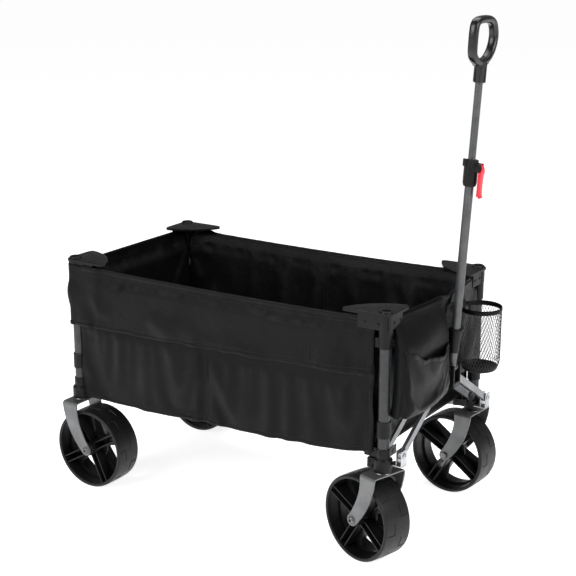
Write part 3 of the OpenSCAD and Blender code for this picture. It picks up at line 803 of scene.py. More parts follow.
def cap_shape():
    collar = turned(
        [(10.9, 480.6), (13.6, 480.6), (14.5, 482), (14.5, 550), (10.9, 550)], 40, closed=True
    )
    ring = turned([(8.6, 556), (8.8, 559.4), (9.8, 560.4), (12.4, 560.2), (14.2, 558.8), (15, 556)],
                  40, closed=True)
    long_skirt = block((-60, 9, 519), (12, 12, 552), 1.2)
    end_skirt = block((9, -50, 519), (12, 12, 552), 1.2)
    rivets = [moved(rivet(3.6, 2), shift(x, 11.9, z) @ TURN_TO_Y.inverted()) for x,
              z in ((-44, 533), (-12, 531))]
    rivets += [moved(rivet(3.6, 2), shift(11.9, y, 533) @ TURN_TO_X) for y in (-40, -14)]
    ribs = [moved(block((-1, -34, 540), (1, 8, 551), 0.5), shift(x, 0, 0)) for x in (-52, -36)]
    free_lug = block((-11, -34, UPPER_Z - 9), (-9.2, -9, UPPER_Z + 9), 0.6)
    crowned = plate(CAP_OUTLINE, 549.6, 554.6, crown=2.0, edge=1.6)
    return joined(crowned, collar, ring, long_skirt, end_skirt, side_lug(UPPER_Z), free_lug,
                  *rivets, *ribs)


for name in CORNERS:
    fitting("corner_cap_" + name, moved(cap_shape(), corner_frame(name)), black_plastic,
            "top_" + name,
            "black_plastic", "cap_" + name)
print("made four caps")

# %% [markdown]
# ## Lower brackets
#
# A bracket holds the foot of a post, the caster's pin below it and the lower
# pivots. The front two also carry a bright folded clevis, which is a separate
# steel part, for the links that lift the handle.

# %% Brackets
ARM_TURN = math.degrees(math.atan2(174, 348))


def arm_lug():
    """Two plates and a pin for a floor arm, with +X along the arm."""
    plates = [moved(block((-24, 6.6, -8), (8, 9.1, 8), 0.7), Matrix.Diagonal((1, side, 1, 1)))
              for side in (1, -1)]
    pin = moved(turned([(0, -10.6), (4.2, -10.6), (5, -9.1), (3, -9.1), (3, 9.1), (5, 9.1),
                        (4.2, 10.6), (0, 10.6)], 20),
                TURN_TO_Y)
    return joined(*plates, pin)


def bracket_shape():
    body = turned(
        [(6.1, 210.2), (17.5, 210.2), (19.4, 211.4), (20, 214), (20, 236), (19, 239), (15.8, 241),
         (15, 243),
         (15, 259.5), (14, 262), (12.7, 262), (12.7, 242), (6.1, 239)], 44, closed=True,
    )
    end_plates = [block((x, -38, LOWER_Z - 9), (x + 2, -8, LOWER_Z + 12), 0.7)
                  for x in (-10.5, 8.5)]
    end_pin = moved(turned([(0, -11.5), (4.2, -11.5), (5, -10.5), (3, -10.5), (3, 10.5), (5, 10.5),
                            (4.2, 11.5),
                            (0, 11.5)], 20), shift(0, -END_PIVOT_IN, LOWER_Z) @ TURN_TO_X)
    arm = moved(arm_lug(), shift(-PIVOT_IN, -END_PIVOT_IN, ARM_Z)
                @ Matrix.Rotation(math.radians(180 + ARM_TURN), 4, "Z"))
    web = block((-34, -12, 216), (-10, 9, 238), 1.5)
    heads = [moved(rivet(3.4, 1.8), shift(x, 9, z) @ TURN_TO_Y.inverted()) for x,
             z in ((-28, 231), (-22, 221))]
    cross = moved(rivet(4, 2), shift(0, 14.6, 254) @ TURN_TO_Y.inverted())
    return joined(body, side_lug(LOWER_Z), *end_plates, end_pin, arm, web, *heads, cross)


def clevis_shape():
    base = block((13, -24, 226), (43, 0, 229), 0.8)
    cheeks = [block((x, -24, 226.5), (x + 2, 0, 262), 0.7) for x in (29, 41)]
    bolt = moved(turned([(0, 28), (3, 28), (3, 44), (0, 44)], 20),
                 shift(0, -12, LOWER_Z) @ TURN_TO_X)
    head = moved(socket_bolt(5.2, 3), shift(42.9, -12, LOWER_Z) @ TURN_TO_X)
    return joined(base, *cheeks, bolt, head)


for name, (out_x, _) in CORNERS.items():
    place = corner_frame(name)
    fitting("lower_bracket_" + name, moved(bracket_shape(), place), black_plastic, "corner_" + name,
            "black_plastic", "bracket_" + name)
    if out_x > 0:
        fitting("link_clevis_" + name, moved(clevis_shape(), place), clevis_steel, "corner_" + name,
                "bar_steel")
    foot = turned([(12.6, 286), (14.6, 286), (15.2, 287), (15.2, 321), (14.6, 322), (12.6, 322)],
                  40, closed=True)
    fitting("stop_ring_" + name, moved(foot, place), black_plastic, "corner_" + name,
            "black_plastic")
print("made four brackets")

# %% [markdown]
# ## Pull handle
#
# The handle's foot is a tapered socket. Higher up, a clamp holds the sliding
# tube, and a red over-centre lever loops over the clamp's ear and hangs beside
# the tube. The grip is a closed D: a straight arm, a flat top and a bowed arm,
# swept as one rounded bar and set on a ribbed neck.

# %% Handle pieces
HANDLE = Matrix.Translation((FRONT_X + 47 * MM, 0, 385 * MM)) @ Matrix.Rotation(math.radians(3.5),
    4, "Y")


def smooth_path(points, cuts=6, closed=False):
    """A soft curve through points (Catmull-Rom)."""
    points = [Vector(p) for p in points]
    count = len(points)
    line = []
    for i in range(count if closed else count - 1):
        a, b, c, d = (points[(i + k) % count] if closed else points[min(max(i + k, 0), count - 1)]
                      for k in (-1, 0, 1, 2))
        for step in range(cuts):
            t = step / cuts
            line.append(0.5 * (2 * b + (c - a) * t + (2 * a - 5 * b + 4 * c - d) * t * t
                               + (3 * b - a - 3 * c + d) * t ** 3))
    return line if closed else line + [points[-1]]


foot = turned([(9.7, 36), (10.6, 36), (14.3, 83), (15.6, 84), (15.6, 88), (14.6, 89.5),
               (9.7, 89.5)], 40, closed=True)
fitting("handle_foot", moved(foot, HANDLE), black_plastic, "handle_lower", "black_plastic")

clamp_body = turned(
    [(9.7, 404), (13.4, 404), (15, 411), (15, 454), (14.4, 458), (8.4, 458), (8.4, 453),
     (9.7, 452)], 40, closed=True
)
ear = [block((4, -7.5, 432), (10.2, 7.5, 456), 1.2), block((9, -7.8, 435), (25, -5, 453), 1.2),
       block((9, 5, 435), (25, 7.8, 453), 1.2), block((4, -9.5, 426), (10.2, 9.5, 450), 1.5)]
notch = [block((-13, -15.6, 446), (-4, -12, 462), 1.0), block((4, -15.6, 446), (12, -12, 462), 1.0)]
clamp_pin = moved(turned([(0, -8.6), (2.6, -8.6), (2, -7.6), (2, 7.6), (2.6, 8.6), (0, 8.6)], 20),
                  shift(19, 0, 444) @ TURN_TO_Y)
fitting("tube_clamp", moved(joined(clamp_body, *ear, *notch, clamp_pin), HANDLE), black_plastic,
        "handle_lower",
        "black_plastic", "handle_clamp")

LEVER_LINE = [(15.6, 0, 448.5), (19, 0, 450.5), (23.5, 0, 449.5), (26.6, 0, 445), (27, 0, 438),
              (25.5, 0, 428),
              (24.6, 0, 416), (24.4, 0, 402), (25.2, 0, 388), (26.8, 0, 381.5)]


def lever_shape():
    loop = swept(
        frames_along([Vector(p) * MM for p in smooth_path(LEVER_LINE, 4)], up=(0, 1, 0)),
        lambda t: (1.9 if t < 0.45 else 2.3, 4.1 if t < 0.33 else min(8.5, 4.1 + (t - 0.33) * 40)),
        16, 0.16,
    )
    eye = moved(turned([(2.1, -4.2), (4.4, -4.2), (4.4, 4.2), (2.1, 4.2)], 24, closed=True),
                shift(19, 0, 444) @ TURN_TO_Y)
    web = block((17.8, -4.2, 444.8), (26.2, 4.2, 449), 1.2)
    spine = [block((19.5, y, 384), (24.6, y + 1.8, 436), 0.7) for y in (-6.5, 4.7)]
    return joined(loop, eye, web, *spine)


fitting("clamp_flip_lever", moved(lever_shape(), HANDLE), lever_plastic, "clamp_lever",
        "lever_plastic", "clamp_lever")

GRIP_LINE = [(0, -33, 668), (0, -44, 680), (0, -46.5, 705), (0, -46, 727), (0, -42, 739),
             (0, -29, 744.5),
             (0, 0, 745.2), (0, 22, 743), (0, 39, 734), (0, 48.5, 716), (0, 49, 699), (0, 41, 680),
             (0, 24, 665),
             (0, 4, 660), (0, -18, 661)]


def grip_shape():
    line = [Vector(p) * MM for p in smooth_path(GRIP_LINE, 4, closed=True)]
    count = len(line)
    frames = []
    for i, point in enumerate(line):
        along = (line[(i + 1) % count] - line[i - 1]).normalized()
        side = along.cross(Vector((1, 0, 0))).normalized()
        frames.append(Matrix.Translation(point) @ Matrix((side, Vector((1, 0, 0)),
                                                          along)).transposed().to_4x4())
    loop = swept(frames, lambda t: (7.6, 9.8), 20, 0.08, closed=True)
    neck = turned([(8.05, 618), (10, 618), (11.2, 621), (12.4, 650), (13, 662), (8.05, 662)], 32,
                  closed=True)
    ribs = [moved(block((9, -1.3, 619), (14, 1.3, 660), 0.8),
                  Matrix.Rotation(math.radians(a), 4, "Z"))
            for a in range(0, 360, 60)]
    saddle = block((-9.6, -24, 653), (9.6, 20, 666), 4, 4)
    return joined(loop, neck, saddle, *ribs)


fitting("d_grip", moved(grip_shape(), HANDLE), grip_plastic, "handle_upper", "grip_plastic",
        "handle_grip")

BASE_LOW, LINK_Z = 342, 370
cheeks = [moved(block((42, 12.5, BASE_LOW), (60, 17, 394), 1.4), Matrix.Diagonal((1, side, 1, 1)))
          for side in (1, -1)]
tie = block((42, -14, BASE_LOW), (60, 14, BASE_LOW + 12), 2)
pivot = moved(turned([(0, -19), (4.6, -19), (5.5, -17), (3, -17), (3, 17), (5.5, 17), (4.6, 19),
                      (0, 19)], 20),
              shift(47, 0, 385) @ TURN_TO_Y)
stub = moved(turned([(0, 30), (3, 30), (3, 43), (0, 43)], 20), shift(0, -13, LINK_Z) @ TURN_TO_X)
base = moved(joined(*cheeks, tie, pivot, stub), Matrix.Translation((FRONT_X, 0, 0)))
fitting("handle_yoke", base, black_plastic, "handle_base", "black_plastic", "handle_base")
print("made the handle's fittings")
# %% [markdown]
# ## The fabric tub
#
# The tub hangs from the four corner caps. On each side a lining drops inside
# the scissor bars, a valance hangs outside them and a longer skirt covers them
# down to the floor. Every one is a flat cut of cloth, so it starts as a grid
# whose points are placed by how far along and how far up the cut they are. The
# cut is a little longer than the gap that it fills, and a short cloth
# simulation lets that slack fall into folds, which is how real folds arise.

# %% Cloth helpers


def cloth_grid(name, size, cells, place):
    """A sheet of cloth of (along, up) metres. place(u, v) gives each point, with u and v from 0 to 1."""
    shape = bmesh.new()
    shape.loops.layers.uv.new("cut")
    bmesh.ops.create_grid(shape, x_segments=cells[0], y_segments=cells[1], size=0.5, calc_uvs=True)
    uv = shape.loops.layers.uv["cut"]
    for face in shape.faces:
        for loop in face.loops:
            u, v = loop.vert.co.x + 0.5, loop.vert.co.y + 0.5
            loop[uv].uv = (u * size[0], v * size[1])
    for vertex in shape.verts:
        vertex.co = place(vertex.co.x + 0.5, vertex.co.y + 0.5)
    return new_object(name, shape, tub_fabric, 180)


def glide(points, t):
    """The point a share t of the way along a list of (position, value) stops, eased between them."""
    for (t0, a), (t1, b) in zip(points, points[1:]):
        if t <= t1:
            share = max(0.0, (t - t0) / (t1 - t0))
            share = share * share * (3 - 2 * share)
            return a + (b - a) * share
    return points[-1][1]


def run_along(points, t):
    """The point a share t of the length along a line of points."""
    points = [Vector(p) for p in points]
    lengths = [(b - a).length for a, b in zip(points, points[1:])]
    left = t * sum(lengths)
    for start, end, length in zip(points, points[1:], lengths):
        if left <= length:
            return start.lerp(end, left / length)
        left -= length
    return points[-1]


def hang(piece, held, slack, reach, frames=26, gravity=0.6, bending=1.2, stiffness=12.0):
    """Lets the cloth fall from where it is held, and then keeps that shape.

    held(u, v) is how firmly a point is held, from 0 to 1. No point moves
    further than reach, so the cloth stays clear of the frame."""
    mesh = piece.data
    before = [v.co.copy() for v in mesh.vertices]
    uv = mesh.uv_layers["cut"].data
    size = [max(loop.uv[i] for loop in uv) for i in (0, 1)]
    group = piece.vertex_groups.new(name="held")
    for loop, place in zip(mesh.loops, uv):
        weight = held(place.uv[0] / size[0], place.uv[1] / size[1])
        group.add([loop.vertex_index], weight, "REPLACE")
    cloth = piece.modifiers.new("hang", "CLOTH")
    rules = cloth.settings
    rules.quality = 6
    rules.mass = 0.25
    rules.tension_stiffness = rules.compression_stiffness = stiffness
    rules.shear_stiffness = stiffness / 3
    rules.bending_stiffness = bending
    rules.air_damping = 2.0
    rules.vertex_group_mass = "held"
    rules.shrink_min = -slack
    rules.effector_weights.gravity = gravity
    cloth.collision_settings.use_collision = False
    cloth.point_cache.frame_start = 1
    cloth.point_cache.frame_end = frames
    scene = bpy.context.scene
    for step in range(1, frames + 1):
        scene.frame_set(step)
    fallen = piece.evaluated_get(bpy.context.evaluated_depsgraph_get()).to_mesh()
    after = [v.co.copy() for v in fallen.vertices]
    piece.evaluated_get(bpy.context.evaluated_depsgraph_get()).to_mesh_clear()
    piece.modifiers.remove(cloth)
    scene.frame_set(1)
    furthest = 0.0
    for vertex, old, new in zip(mesh.vertices, before, after):
        step = new - old
        furthest = max(furthest, step.length)
        if step.length > reach:
            step *= reach / step.length
        vertex.co = old + step
    mesh.update()
    print(f"{piece.name} fell up to {furthest * 1000:.0f} mm")
    return piece


def sewn(piece, body, joint_axis, anchor, keep, thickness=1.2, smooth=1):
    """Gives a sheet its thickness, makes the mesh final and sets it on a body."""
    if smooth:
        finer = piece.modifiers.new("smooth", "SUBSURF")
        finer.levels = finer.render_levels = smooth
    skin = piece.modifiers.new("thickness", "SOLIDIFY")
    skin.thickness = thickness * MM
    skin.offset = 0
    settle_modifiers(piece)
    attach(piece, body)
    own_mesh(piece)
    return piece


def settle_modifiers(piece):
    """Makes the modified mesh the piece's own."""
    graph = bpy.context.evaluated_depsgraph_get()
    final = bpy.data.meshes.new_from_object(piece.evaluated_get(graph), depsgraph=graph)
    old = piece.data
    piece.modifiers.clear()
    piece.data = final
    bpy.data.meshes.remove(old)
    final.name = piece.name


def crease(point, scale, depth, seed):
    """A smooth random swell at a point, for folds that are set one by one."""
    return (noise.noise(Vector(point) * scale + Vector((seed, seed * 0.7, 0)))) * depth


def surface_of(piece, cells):
    """A function that gives the point and the outward normal at any (u, v) of a hung cloth."""
    mesh = piece.data
    cuts = mesh.uv_layers["cut"].data
    size = [max(loop.uv[i] for loop in cuts) for i in (0, 1)]
    grid = {}
    for loop, cut in zip(mesh.loops, cuts):
        spot = tuple(round(cut.uv[i] / size[i] * cells[i]) for i in (0, 1))
        grid[spot] = mesh.vertices[loop.vertex_index].co.copy()

    def point(u, v):
        x, y = min(max(u, 0), 1) * cells[0], min(max(v, 0), 1) * cells[1]
        i, j = min(int(x), cells[0] - 1), min(int(y), cells[1] - 1)
        low = grid[i, j].lerp(grid[i + 1, j], x - i)
        high = grid[i, j + 1].lerp(grid[i + 1, j + 1], x - i)
        return low.lerp(high, y - j)

    def at(u, v):
        along = point(u + 0.01, v) - point(u - 0.01, v)
        rise = point(u, v + 0.02) - point(u, v - 0.02)
        return point(u, v), along.cross(rise).normalized()

    return at


def row(at, start, end, steps=160):
    """Samples of a surface along a straight line of its cut."""
    ends = Vector(start), Vector(end)
    return [at(*ends[0].lerp(ends[1], i / steps)) for i in range(steps + 1)]


def stitches(name, rows, outwards, lift=1.1, pitch=5.0):
    """Rows of raised stitches. outwards is about the way that their side of the cloth faces."""
    shape = bmesh.new()
    for samples in rows:
        left = pitch * MM
        for (a, normal), (b, _) in zip(samples, samples[1:]):
            step = b - a
            while left < step.length:
                place = a.lerp(b, left / step.length)
                out = normal if normal.dot(Vector(outwards)) > 0 else -normal
                side = out.cross(step).normalized()
                turn = Matrix((step.normalized(), side, out)).transposed().to_4x4()
                bmesh.ops.create_icosphere(
                    shape, subdivisions=1, radius=0.5,
                    matrix=Matrix.Translation(place + out * lift * MM) @ turn
                    @ Matrix.Diagonal((3.4 * MM, 0.8 * MM, 0.7 * MM, 1)),
                )
                left += pitch * MM
            left -= step.length
    return new_object(name, shape, thread, 180)


def binding(name, samples, high=11, thick=3.4):
    """A folded hem along an edge: a flattened tube that covers it."""
    line = [point for point, _ in samples]
    shape = swept(frames_along(line), lambda t: (thick / 2, high / 2), 12)
    piece = new_object(name, shape, hem_fabric, 60)
    return piece


# The share of its length and width that the tub keeps at full fold: the arms
# lean up by the fold's angle, and the stiff ends beside the posts stay as they are
SPAN_X, SPAN_Y = FRONT_X - REAR_X, 2 * HALF_Y
FOLD = next(j for j in frame["joints"] if j["name"] == "fold")
SHUT = math.cos(math.radians(FOLD["range_deg"][1]))
STIFF_X, STIFF_Y = 132 * MM, 86 * MM
KEEP_X = (STIFF_X + (SPAN_X - STIFF_X) * SHUT) / SPAN_X
KEEP_Y = (STIFF_Y + (SPAN_Y - STIFF_Y) * SHUT) / SPAN_Y
print(f"at full fold the tub keeps {KEEP_X:.2f} of its length and {KEEP_Y:.2f} of its width")


def trimmed(pieces, body):
    """Lets hems and stitches ride with the sheet they are on."""
    for piece in pieces:
        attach(piece, body)
        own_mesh(piece)
    return pieces


def fold_long(piece, side, **how):
    """A piece on a long side rides on its rear cap."""
    return sewn(piece, "top_rr" if side < 0 else "top_rl", (1, 0, 0), (REAR_X, 0, 0), KEEP_X, **how)


def fold_short(piece, end, **how):
    """A piece at an end rides on its right cap."""
    return sewn(piece, "top_rr" if end < 0 else "top_fr", (0, 1, 0), (0, -HALF_Y, 0), KEEP_Y, **how)


def trim_long(side, *pieces):
    return trimmed(pieces, "top_rr" if side < 0 else "top_rl")


def trim_short(end, *pieces):
    return trimmed(pieces, "top_rr" if end < 0 else "top_fr")


# %% [markdown]
# ### The long sides
#
# The lining is pinned along its top hem and at the floor. The valance hangs
# free at its lower edge, over the top of the skirt, and its rear end wraps
# round the post. The skirt has an inverted pleat near its middle, where the
# scissor bars need room when the wagon folds.

# %% Long sides
LINING_IN = 18.5 * MM
LINING_EASE = 8 * MM
HEM_Z = RIM_Z - 8 * MM
SIDE_START, SIDE_END = REAR_X + 20 * MM, FRONT_X - 22 * MM
PLEAT_X = REAR_X + 0.455 * SPAN_X


def rim_sag(x):
    """How far the rim hangs below the caps at x."""
    share = min(1, max(0, (x - REAR_X) / SPAN_X))
    near = min(share, 1 - share) * SPAN_X / (110 * MM)
    return 6 * MM * math.sin(math.pi * share) ** 0.7 - 4 * MM * max(0, 1 - near)


def side_lining(side):
    start = REAR_X + LINING_IN
    size = (SPAN_X - 2 * LINING_IN, HEM_Z - FLOOR_Z + LINING_EASE)

    def place(u, v):
        x = start + u * size[0]
        out = glide([(0, -LINING_IN), (0.78, -LINING_IN + 1 * MM), (0.93, -11 * MM),
                     (1, -2.5 * MM)], v)
        z = FLOOR_Z + v * (HEM_Z - rim_sag(x) * v - FLOOR_Z)
        swell = crease((x, side, z * 1.7), 9, 10 * MM, 3) * math.sin(math.pi * v)
        return Vector((x, side * (HALF_Y + out - abs(swell) * 0.6), z))

    name = "side_lining_" + ("right" if side < 0 else "left")
    cells = (66, 26)
    cloth = cloth_grid(name, size, cells, place)
    hang(cloth, lambda u, v: 1.0 if v > 0.9 or v < 0.03 else 0.35 if min(u, 1 - u) < 0.03 else 0.0,
         0.03, 14 * MM, gravity=0.3)
    for vertex in cloth.data.vertices:
        inner = HALF_Y - 14 * MM if vertex.co.z < 500 * MM else HALF_Y
        vertex.co.y = side * min(abs(vertex.co.y), inner)
    at = surface_of(cloth, cells)
    label = "right" if side < 0 else "left"
    rows = [row(at, (0, 0.93), (1, 0.93)), row(at, (0.52, 0), (0.52, 0.93), 50),
            row(at, (0.53, 0), (0.53, 0.93), 50)]
    sewing = stitches("lining_stitches_" + label, rows, (0, -side, 0))
    fold_long(cloth, side)
    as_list(trim_long(side, sewing))
    return cloth


def side_valance(side):
    wrap = 34 * MM
    size = (SIDE_END - SIDE_START + wrap + 14 * MM, 0.146)
    radius = 17 * MM

    def place(u, v):
        run = u * size[0] - wrap
        x = SIDE_START + run - 14 * MM
        low = 397 * MM + 24 * MM * u
        z = low + v * (HEM_Z - rim_sag(x) - low)
        out = glide([(0, 12.5 * MM), (0.5, 12 * MM), (0.85, 8.5 * MM), (1, 2.5 * MM)], v)
        ends = glide([(0, 0), (0.1, 0), (0.22, 1), (0.72, 1), (0.86, 0.15), (1, 0)], u)
        out += 6 * MM * ends * (1 - v) ** 0.6 + crease((x * 1.2 + z, side, z * 1.5 - x), 8, 16 * MM,
                                                       9) * (1 - v * v)
        behind = glide([(0, 1), (0.72, 1), (1, 0)], min(1, max(0, (x - REAR_X) / (88 * MM))))
        out += (max(out, 14.2 * MM) - out) * behind
        y = HALF_Y + out
        if x < REAR_X:
            turn = min((REAR_X - x) / radius, math.pi / 2)
            reach = max(out + 4 * MM, 18 * MM)
            x, y = REAR_X - reach * math.sin(turn), HALF_Y + reach * math.cos(turn)
        return Vector((x, side * y, z))

    name = "side_valance_" + ("right" if side < 0 else "left")
    cells = (76, 14)
    cloth = cloth_grid(name, size, cells, place)
    hang(cloth, lambda u, v: 1.0 if v > 0.93 else 0.9 if u < 0.09 or u > 0.985 else 0.25
         if u < 0.16 or u > 0.84
         else 0.0, 0.025, 12 * MM, gravity=0.5)
    for vertex in cloth.data.vertices:
        if vertex.co.x > REAR_X + 5 * MM:
            vertex.co.y = side * max(abs(vertex.co.y), HALF_Y
                                     + (10 * MM if vertex.co.z < 0.505 else 1.5 * MM))
    at = surface_of(cloth, cells)
    label = "right" if side < 0 else "left"
    rim = binding("rim_hem_" + label, row(at, (0.07, 0.985), (1, 0.985)), 12, 4.2)
    edge = binding("valance_hem_" + label, row(at, (0, 0.02), (1, 0.02)), 9, 3.2)
    rows = [row(at, (0.07, 0.9), (1, 0.9)), row(at, (0, 0.1), (1, 0.1)),
            row(at, (0.8, 0), (0.8, 0.55), 40),
            row(at, (0.81, 0), (0.81, 0.55), 40), row(at, (0.985, 0), (0.985, 0.95), 40)]
    sewing = stitches("valance_stitches_" + label, rows, (0, side, 0))
    fold_long(cloth, side)
    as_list(trim_long(side, rim, edge, sewing))
    return cloth


def skirt_hem(x):
    """The height of the skirt's lower edge at x."""
    share = (x - REAR_X) / SPAN_X
    return (224 + 6 * share + 25 * share ** 3) * MM


def side_skirt(side):
    start = REAR_X + 15 * MM
    size = (SIDE_END - start, 0.215)

    def place(u, v):
        x = start + u * (SIDE_END - start)
        low = skirt_hem(x)
        z = low + v * (440 * MM - low)
        fold = math.exp(-(((x - PLEAT_X) / (13 * MM)) ** 4)) * glide([(0, 0.7), (0.25, 1), (1, 1)],
            v)
        bow = math.sin(math.pi * min(1, u * 1.02)) ** 0.5
        swell = crease((x - z * 0.8, side * 2, z * 1.3 + x * 0.6), 7, 15 * MM,
                       21) * math.sin(math.pi * min(1, v + 0.1))
        out = 8 * MM + (8 * MM * bow * (1 - v) ** 0.5 + 2 * MM + swell * (1 - v ** 3)) * (1
            - fold) - 2 * MM * fold
        return Vector((x, side * (HALF_Y + max(6.2 * MM, out)), z))

    name = "side_skirt_" + ("right" if side < 0 else "left")
    cells = (96, 22)
    cloth = cloth_grid(name, size, cells, place)
    hang(cloth, lambda u, v: 1.0 if v > 0.85 else 0.9 if min(u, 1 - u) < 0.02
         else 1.0 if abs(start + u * size[0] - PLEAT_X) < 26 * MM else 0.0, 0.02, 12 * MM,
         gravity=0.6)
    for vertex in cloth.data.vertices:
        limit = (7.2 + 17 * min(1, max(0, (0.402 - vertex.co.z) / 0.055))) * MM
        vertex.co.y = side * min(max(abs(vertex.co.y), HALF_Y + 6 * MM), HALF_Y + limit)
    at = surface_of(cloth, cells)
    label = "right" if side < 0 else "left"
    low = binding("skirt_hem_" + label, row(at, (0, 0.012), (1, 0.012)), 8, 3)
    front = row(at, (0.995, 0), (0.995, 1), 40)
    end = new_object("skirt_end_" + label, swept(frames_along([p for p, _ in front], up=(1, 0, 0)),
                                                lambda t: (1.6, 5), 12), hem_fabric, 60)
    rows = [row(at, (0, 0.05), (0.98, 0.05)), row(at, (0.978, 0.05), (0.978, 1), 50)]
    sewing = stitches("skirt_stitches_" + label, rows, (0, side, 0))
    fold_long(cloth, side)
    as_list(trim_long(side, low, end, sewing))
    return cloth


for side, hidden in ((-1, "side_panel_right"), (1, "side_panel_left")):
    made = [make(side) for make in (side_lining, side_valance, side_skirt)]
    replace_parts(made[0], hidden)
    print("made", [piece.name for piece in made])


# %% [markdown]
# ### The ends
#
# Each end has a lining like the sides' and an outer wall. The front rim bows
# forward between the caps, because the frame's cross bars stop short of it and
# the handle pulls it down beside itself. On its right half hangs a roomy bag,
# whose wall runs round two soft corners, with an open pocket sewn on it.

# %% Ends
END_WIDE = HALF_Y - 24 * MM
END_IN = 18.5 * MM


def end_rim(end, y):
    """How far out and how high an end's rim is at y."""
    share = max(0.0, 1 - (y / END_WIDE) ** 2)
    out = (28 if end > 0 else 4) * MM * share
    up = HEM_Z + 4 * MM * (1 - share) + (10 * MM * share - 7 * MM
                                         * math.exp(-(((y - 5 * MM) / (20 * MM)) ** 2)) if end > 0
                  else 3 * MM * share)
    return out, up


def end_lining(end):
    half_wide = HALF_Y - LINING_IN
    size = (2 * half_wide, HEM_Z - FLOOR_Z + LINING_EASE)
    base_x = FRONT_X if end > 0 else REAR_X

    def place(u, v):
        y = (2 * u - 1) * half_wide
        rim_out, rim_up = end_rim(end, y)
        out = glide([(0, -END_IN), (0.8, -END_IN + 2 * MM), (1, rim_out)], v)
        z = FLOOR_Z + v * (rim_up - FLOOR_Z)
        swell = crease((y, end * 3, z * 1.6), 11, 9 * MM, 31) * math.sin(math.pi * v)
        return Vector((base_x + end * (out - abs(swell) * (1 - v)), y, z))

    name = "end_lining_" + ("front" if end > 0 else "rear")
    cells = (36, 26)
    cloth = cloth_grid(name, size, cells, place)
    hang(cloth, lambda u, v: 1.0 if v > 0.94 or v < 0.03 else 0.35 if min(u, 1 - u) < 0.03 else 0.0,
         0.03, 12 * MM, gravity=0.3)
    for vertex in cloth.data.vertices:
        reach = end * (vertex.co.x - base_x)
        if vertex.co.z < 505 * MM:
            vertex.co.x = base_x + end * min(reach, -12 * MM)
    at = surface_of(cloth, cells)
    label = "front" if end > 0 else "rear"
    rim = binding("end_rim_hem_" + label, row(at, (0, 0.985), (1, 0.985), 80), 12, 4.2)
    sewing = stitches("end_lining_stitches_" + label, [row(at, (0, 0.93), (1, 0.93), 80)],
                      (-end, 0, 0))
    fold_short(cloth, end)
    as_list(trim_short(end, rim, sewing))
    return cloth


def end_skirt(end, low_y, high_y, low_z):
    """The outer wall of an end between two places across, down to a height."""
    base_x = FRONT_X if end > 0 else REAR_X
    size = (high_y - low_y, HEM_Z - low_z)

    def place(u, v):
        y = low_y + u * (high_y - low_y)
        rim_out, rim_up = end_rim(end, y)
        z = low_z + v * (rim_up - 4 * MM - low_z)
        out = glide([(0, 13 * MM), (0.7, 12.5 * MM), (1, max(rim_out, 2 * MM) + 2 * MM)], v)
        swell = crease((y * 1.2, end * 5, z), 10, 8 * MM,
                       41) * math.sin(math.pi * min(1, v * 0.9 + 0.1))
        return Vector((base_x + end * max(out + swell, 11.5 * MM if v < 0.85 else 0), y, z))

    name = "end_skirt_" + ("front" if end > 0 else "rear")
    cells = (max(8, round(size[0] / 0.0105)), 28)
    cloth = cloth_grid(name, size, cells, place)
    hang(cloth, lambda u, v: 1.0 if v > 0.92 or v < 0.02 else 0.6 if min(u, 1 - u) < 0.03 else 0.0,
         0.015, 8 * MM, gravity=0.5)
    for vertex in cloth.data.vertices:
        reach = end * (vertex.co.x - base_x)
        if vertex.co.z < 515 * MM:
            vertex.co.x = base_x + end * min(max(reach, 10.5 * MM), 19 * MM)
    at = surface_of(cloth, cells)
    label = "front" if end > 0 else "rear"
    edge = binding("end_skirt_hem_" + label, row(at, (0, 0.015), (1, 0.015), 80), 8, 3)
    rows = [row(at, (0, 0.06), (1, 0.06), 80), row(at, (0.03, 0.06), (0.03, 1), 60),
            row(at, (0.97, 0.06), (0.97, 1), 60)]
    sewing = stitches("end_skirt_stitches_" + label, rows, (end, 0, 0))
    fold_short(cloth, end)
    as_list(trim_short(end, edge, sewing))
    return cloth


BAG_PLAN = [(17, -208), (34, -221), (44, -224), (47, -214), (48, -120), (47.5, -30), (43, -22),
            (34, -21)]
BAG_LOW = 334


def bag_point(u, v, low=BAG_LOW * MM, out=0.0):
    """A point on the bag's wall: u round it from the post to the handle, v up it to the rim."""
    x, y, _ = run_along([(x, y, 0) for x, y in BAG_PLAN], u)
    x, y = x * MM, y * MM
    rim_out, rim_up = end_rim(1, max(y, -END_WIDE + 4 * MM))
    close = glide([(0, 0), (0.66, 0), (1, 1)], v)
    x += (max(rim_out + 3 * MM, 4 * MM) - x) * close + out
    y += (max(y, -END_WIDE) - y) * close
    top = rim_up - 3 * MM
    return Vector((FRONT_X + x, y, low + v * (top - low)))


def front_bag():
    size = (0.262, 0.226)

    def place(u, v):
        point = bag_point(u, v)
        point.x += crease((point.y * 1.3, 4, point.z), 12, 9 * MM,
                          51) * math.sin(math.pi * v) * (0.2 < u)
        tuck = (1 - v) ** 6
        point.x -= 9 * MM * tuck
        return point

    cells = (34, 26)
    cloth = cloth_grid("front_bag", size, cells, place)
    hang(cloth, lambda u, v: 1.0 if v > 0.95 or v < 0.04 else 0.7 if min(u, 1 - u) < 0.04 else 0.0,
         0.03, 9 * MM, gravity=0.7)
    at = surface_of(cloth, cells)
    rows = [row(at, (0.1, 0.93), (0.97, 0.93), 60), row(at, (0.1, 0.05), (0.97, 0.05), 60)]
    sewing = stitches("front_bag_stitches", rows, (1, 0, 0))
    fold_short(cloth, 1)
    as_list(trim_short(1, sewing))
    return cloth


def pocket_top(u):
    """The height of the pocket's open edge across it: high at its ends, slack between."""
    return glide([(0, 478), (0.12, 482), (0.42, 452), (0.8, 441), (1, 448)], u) * MM


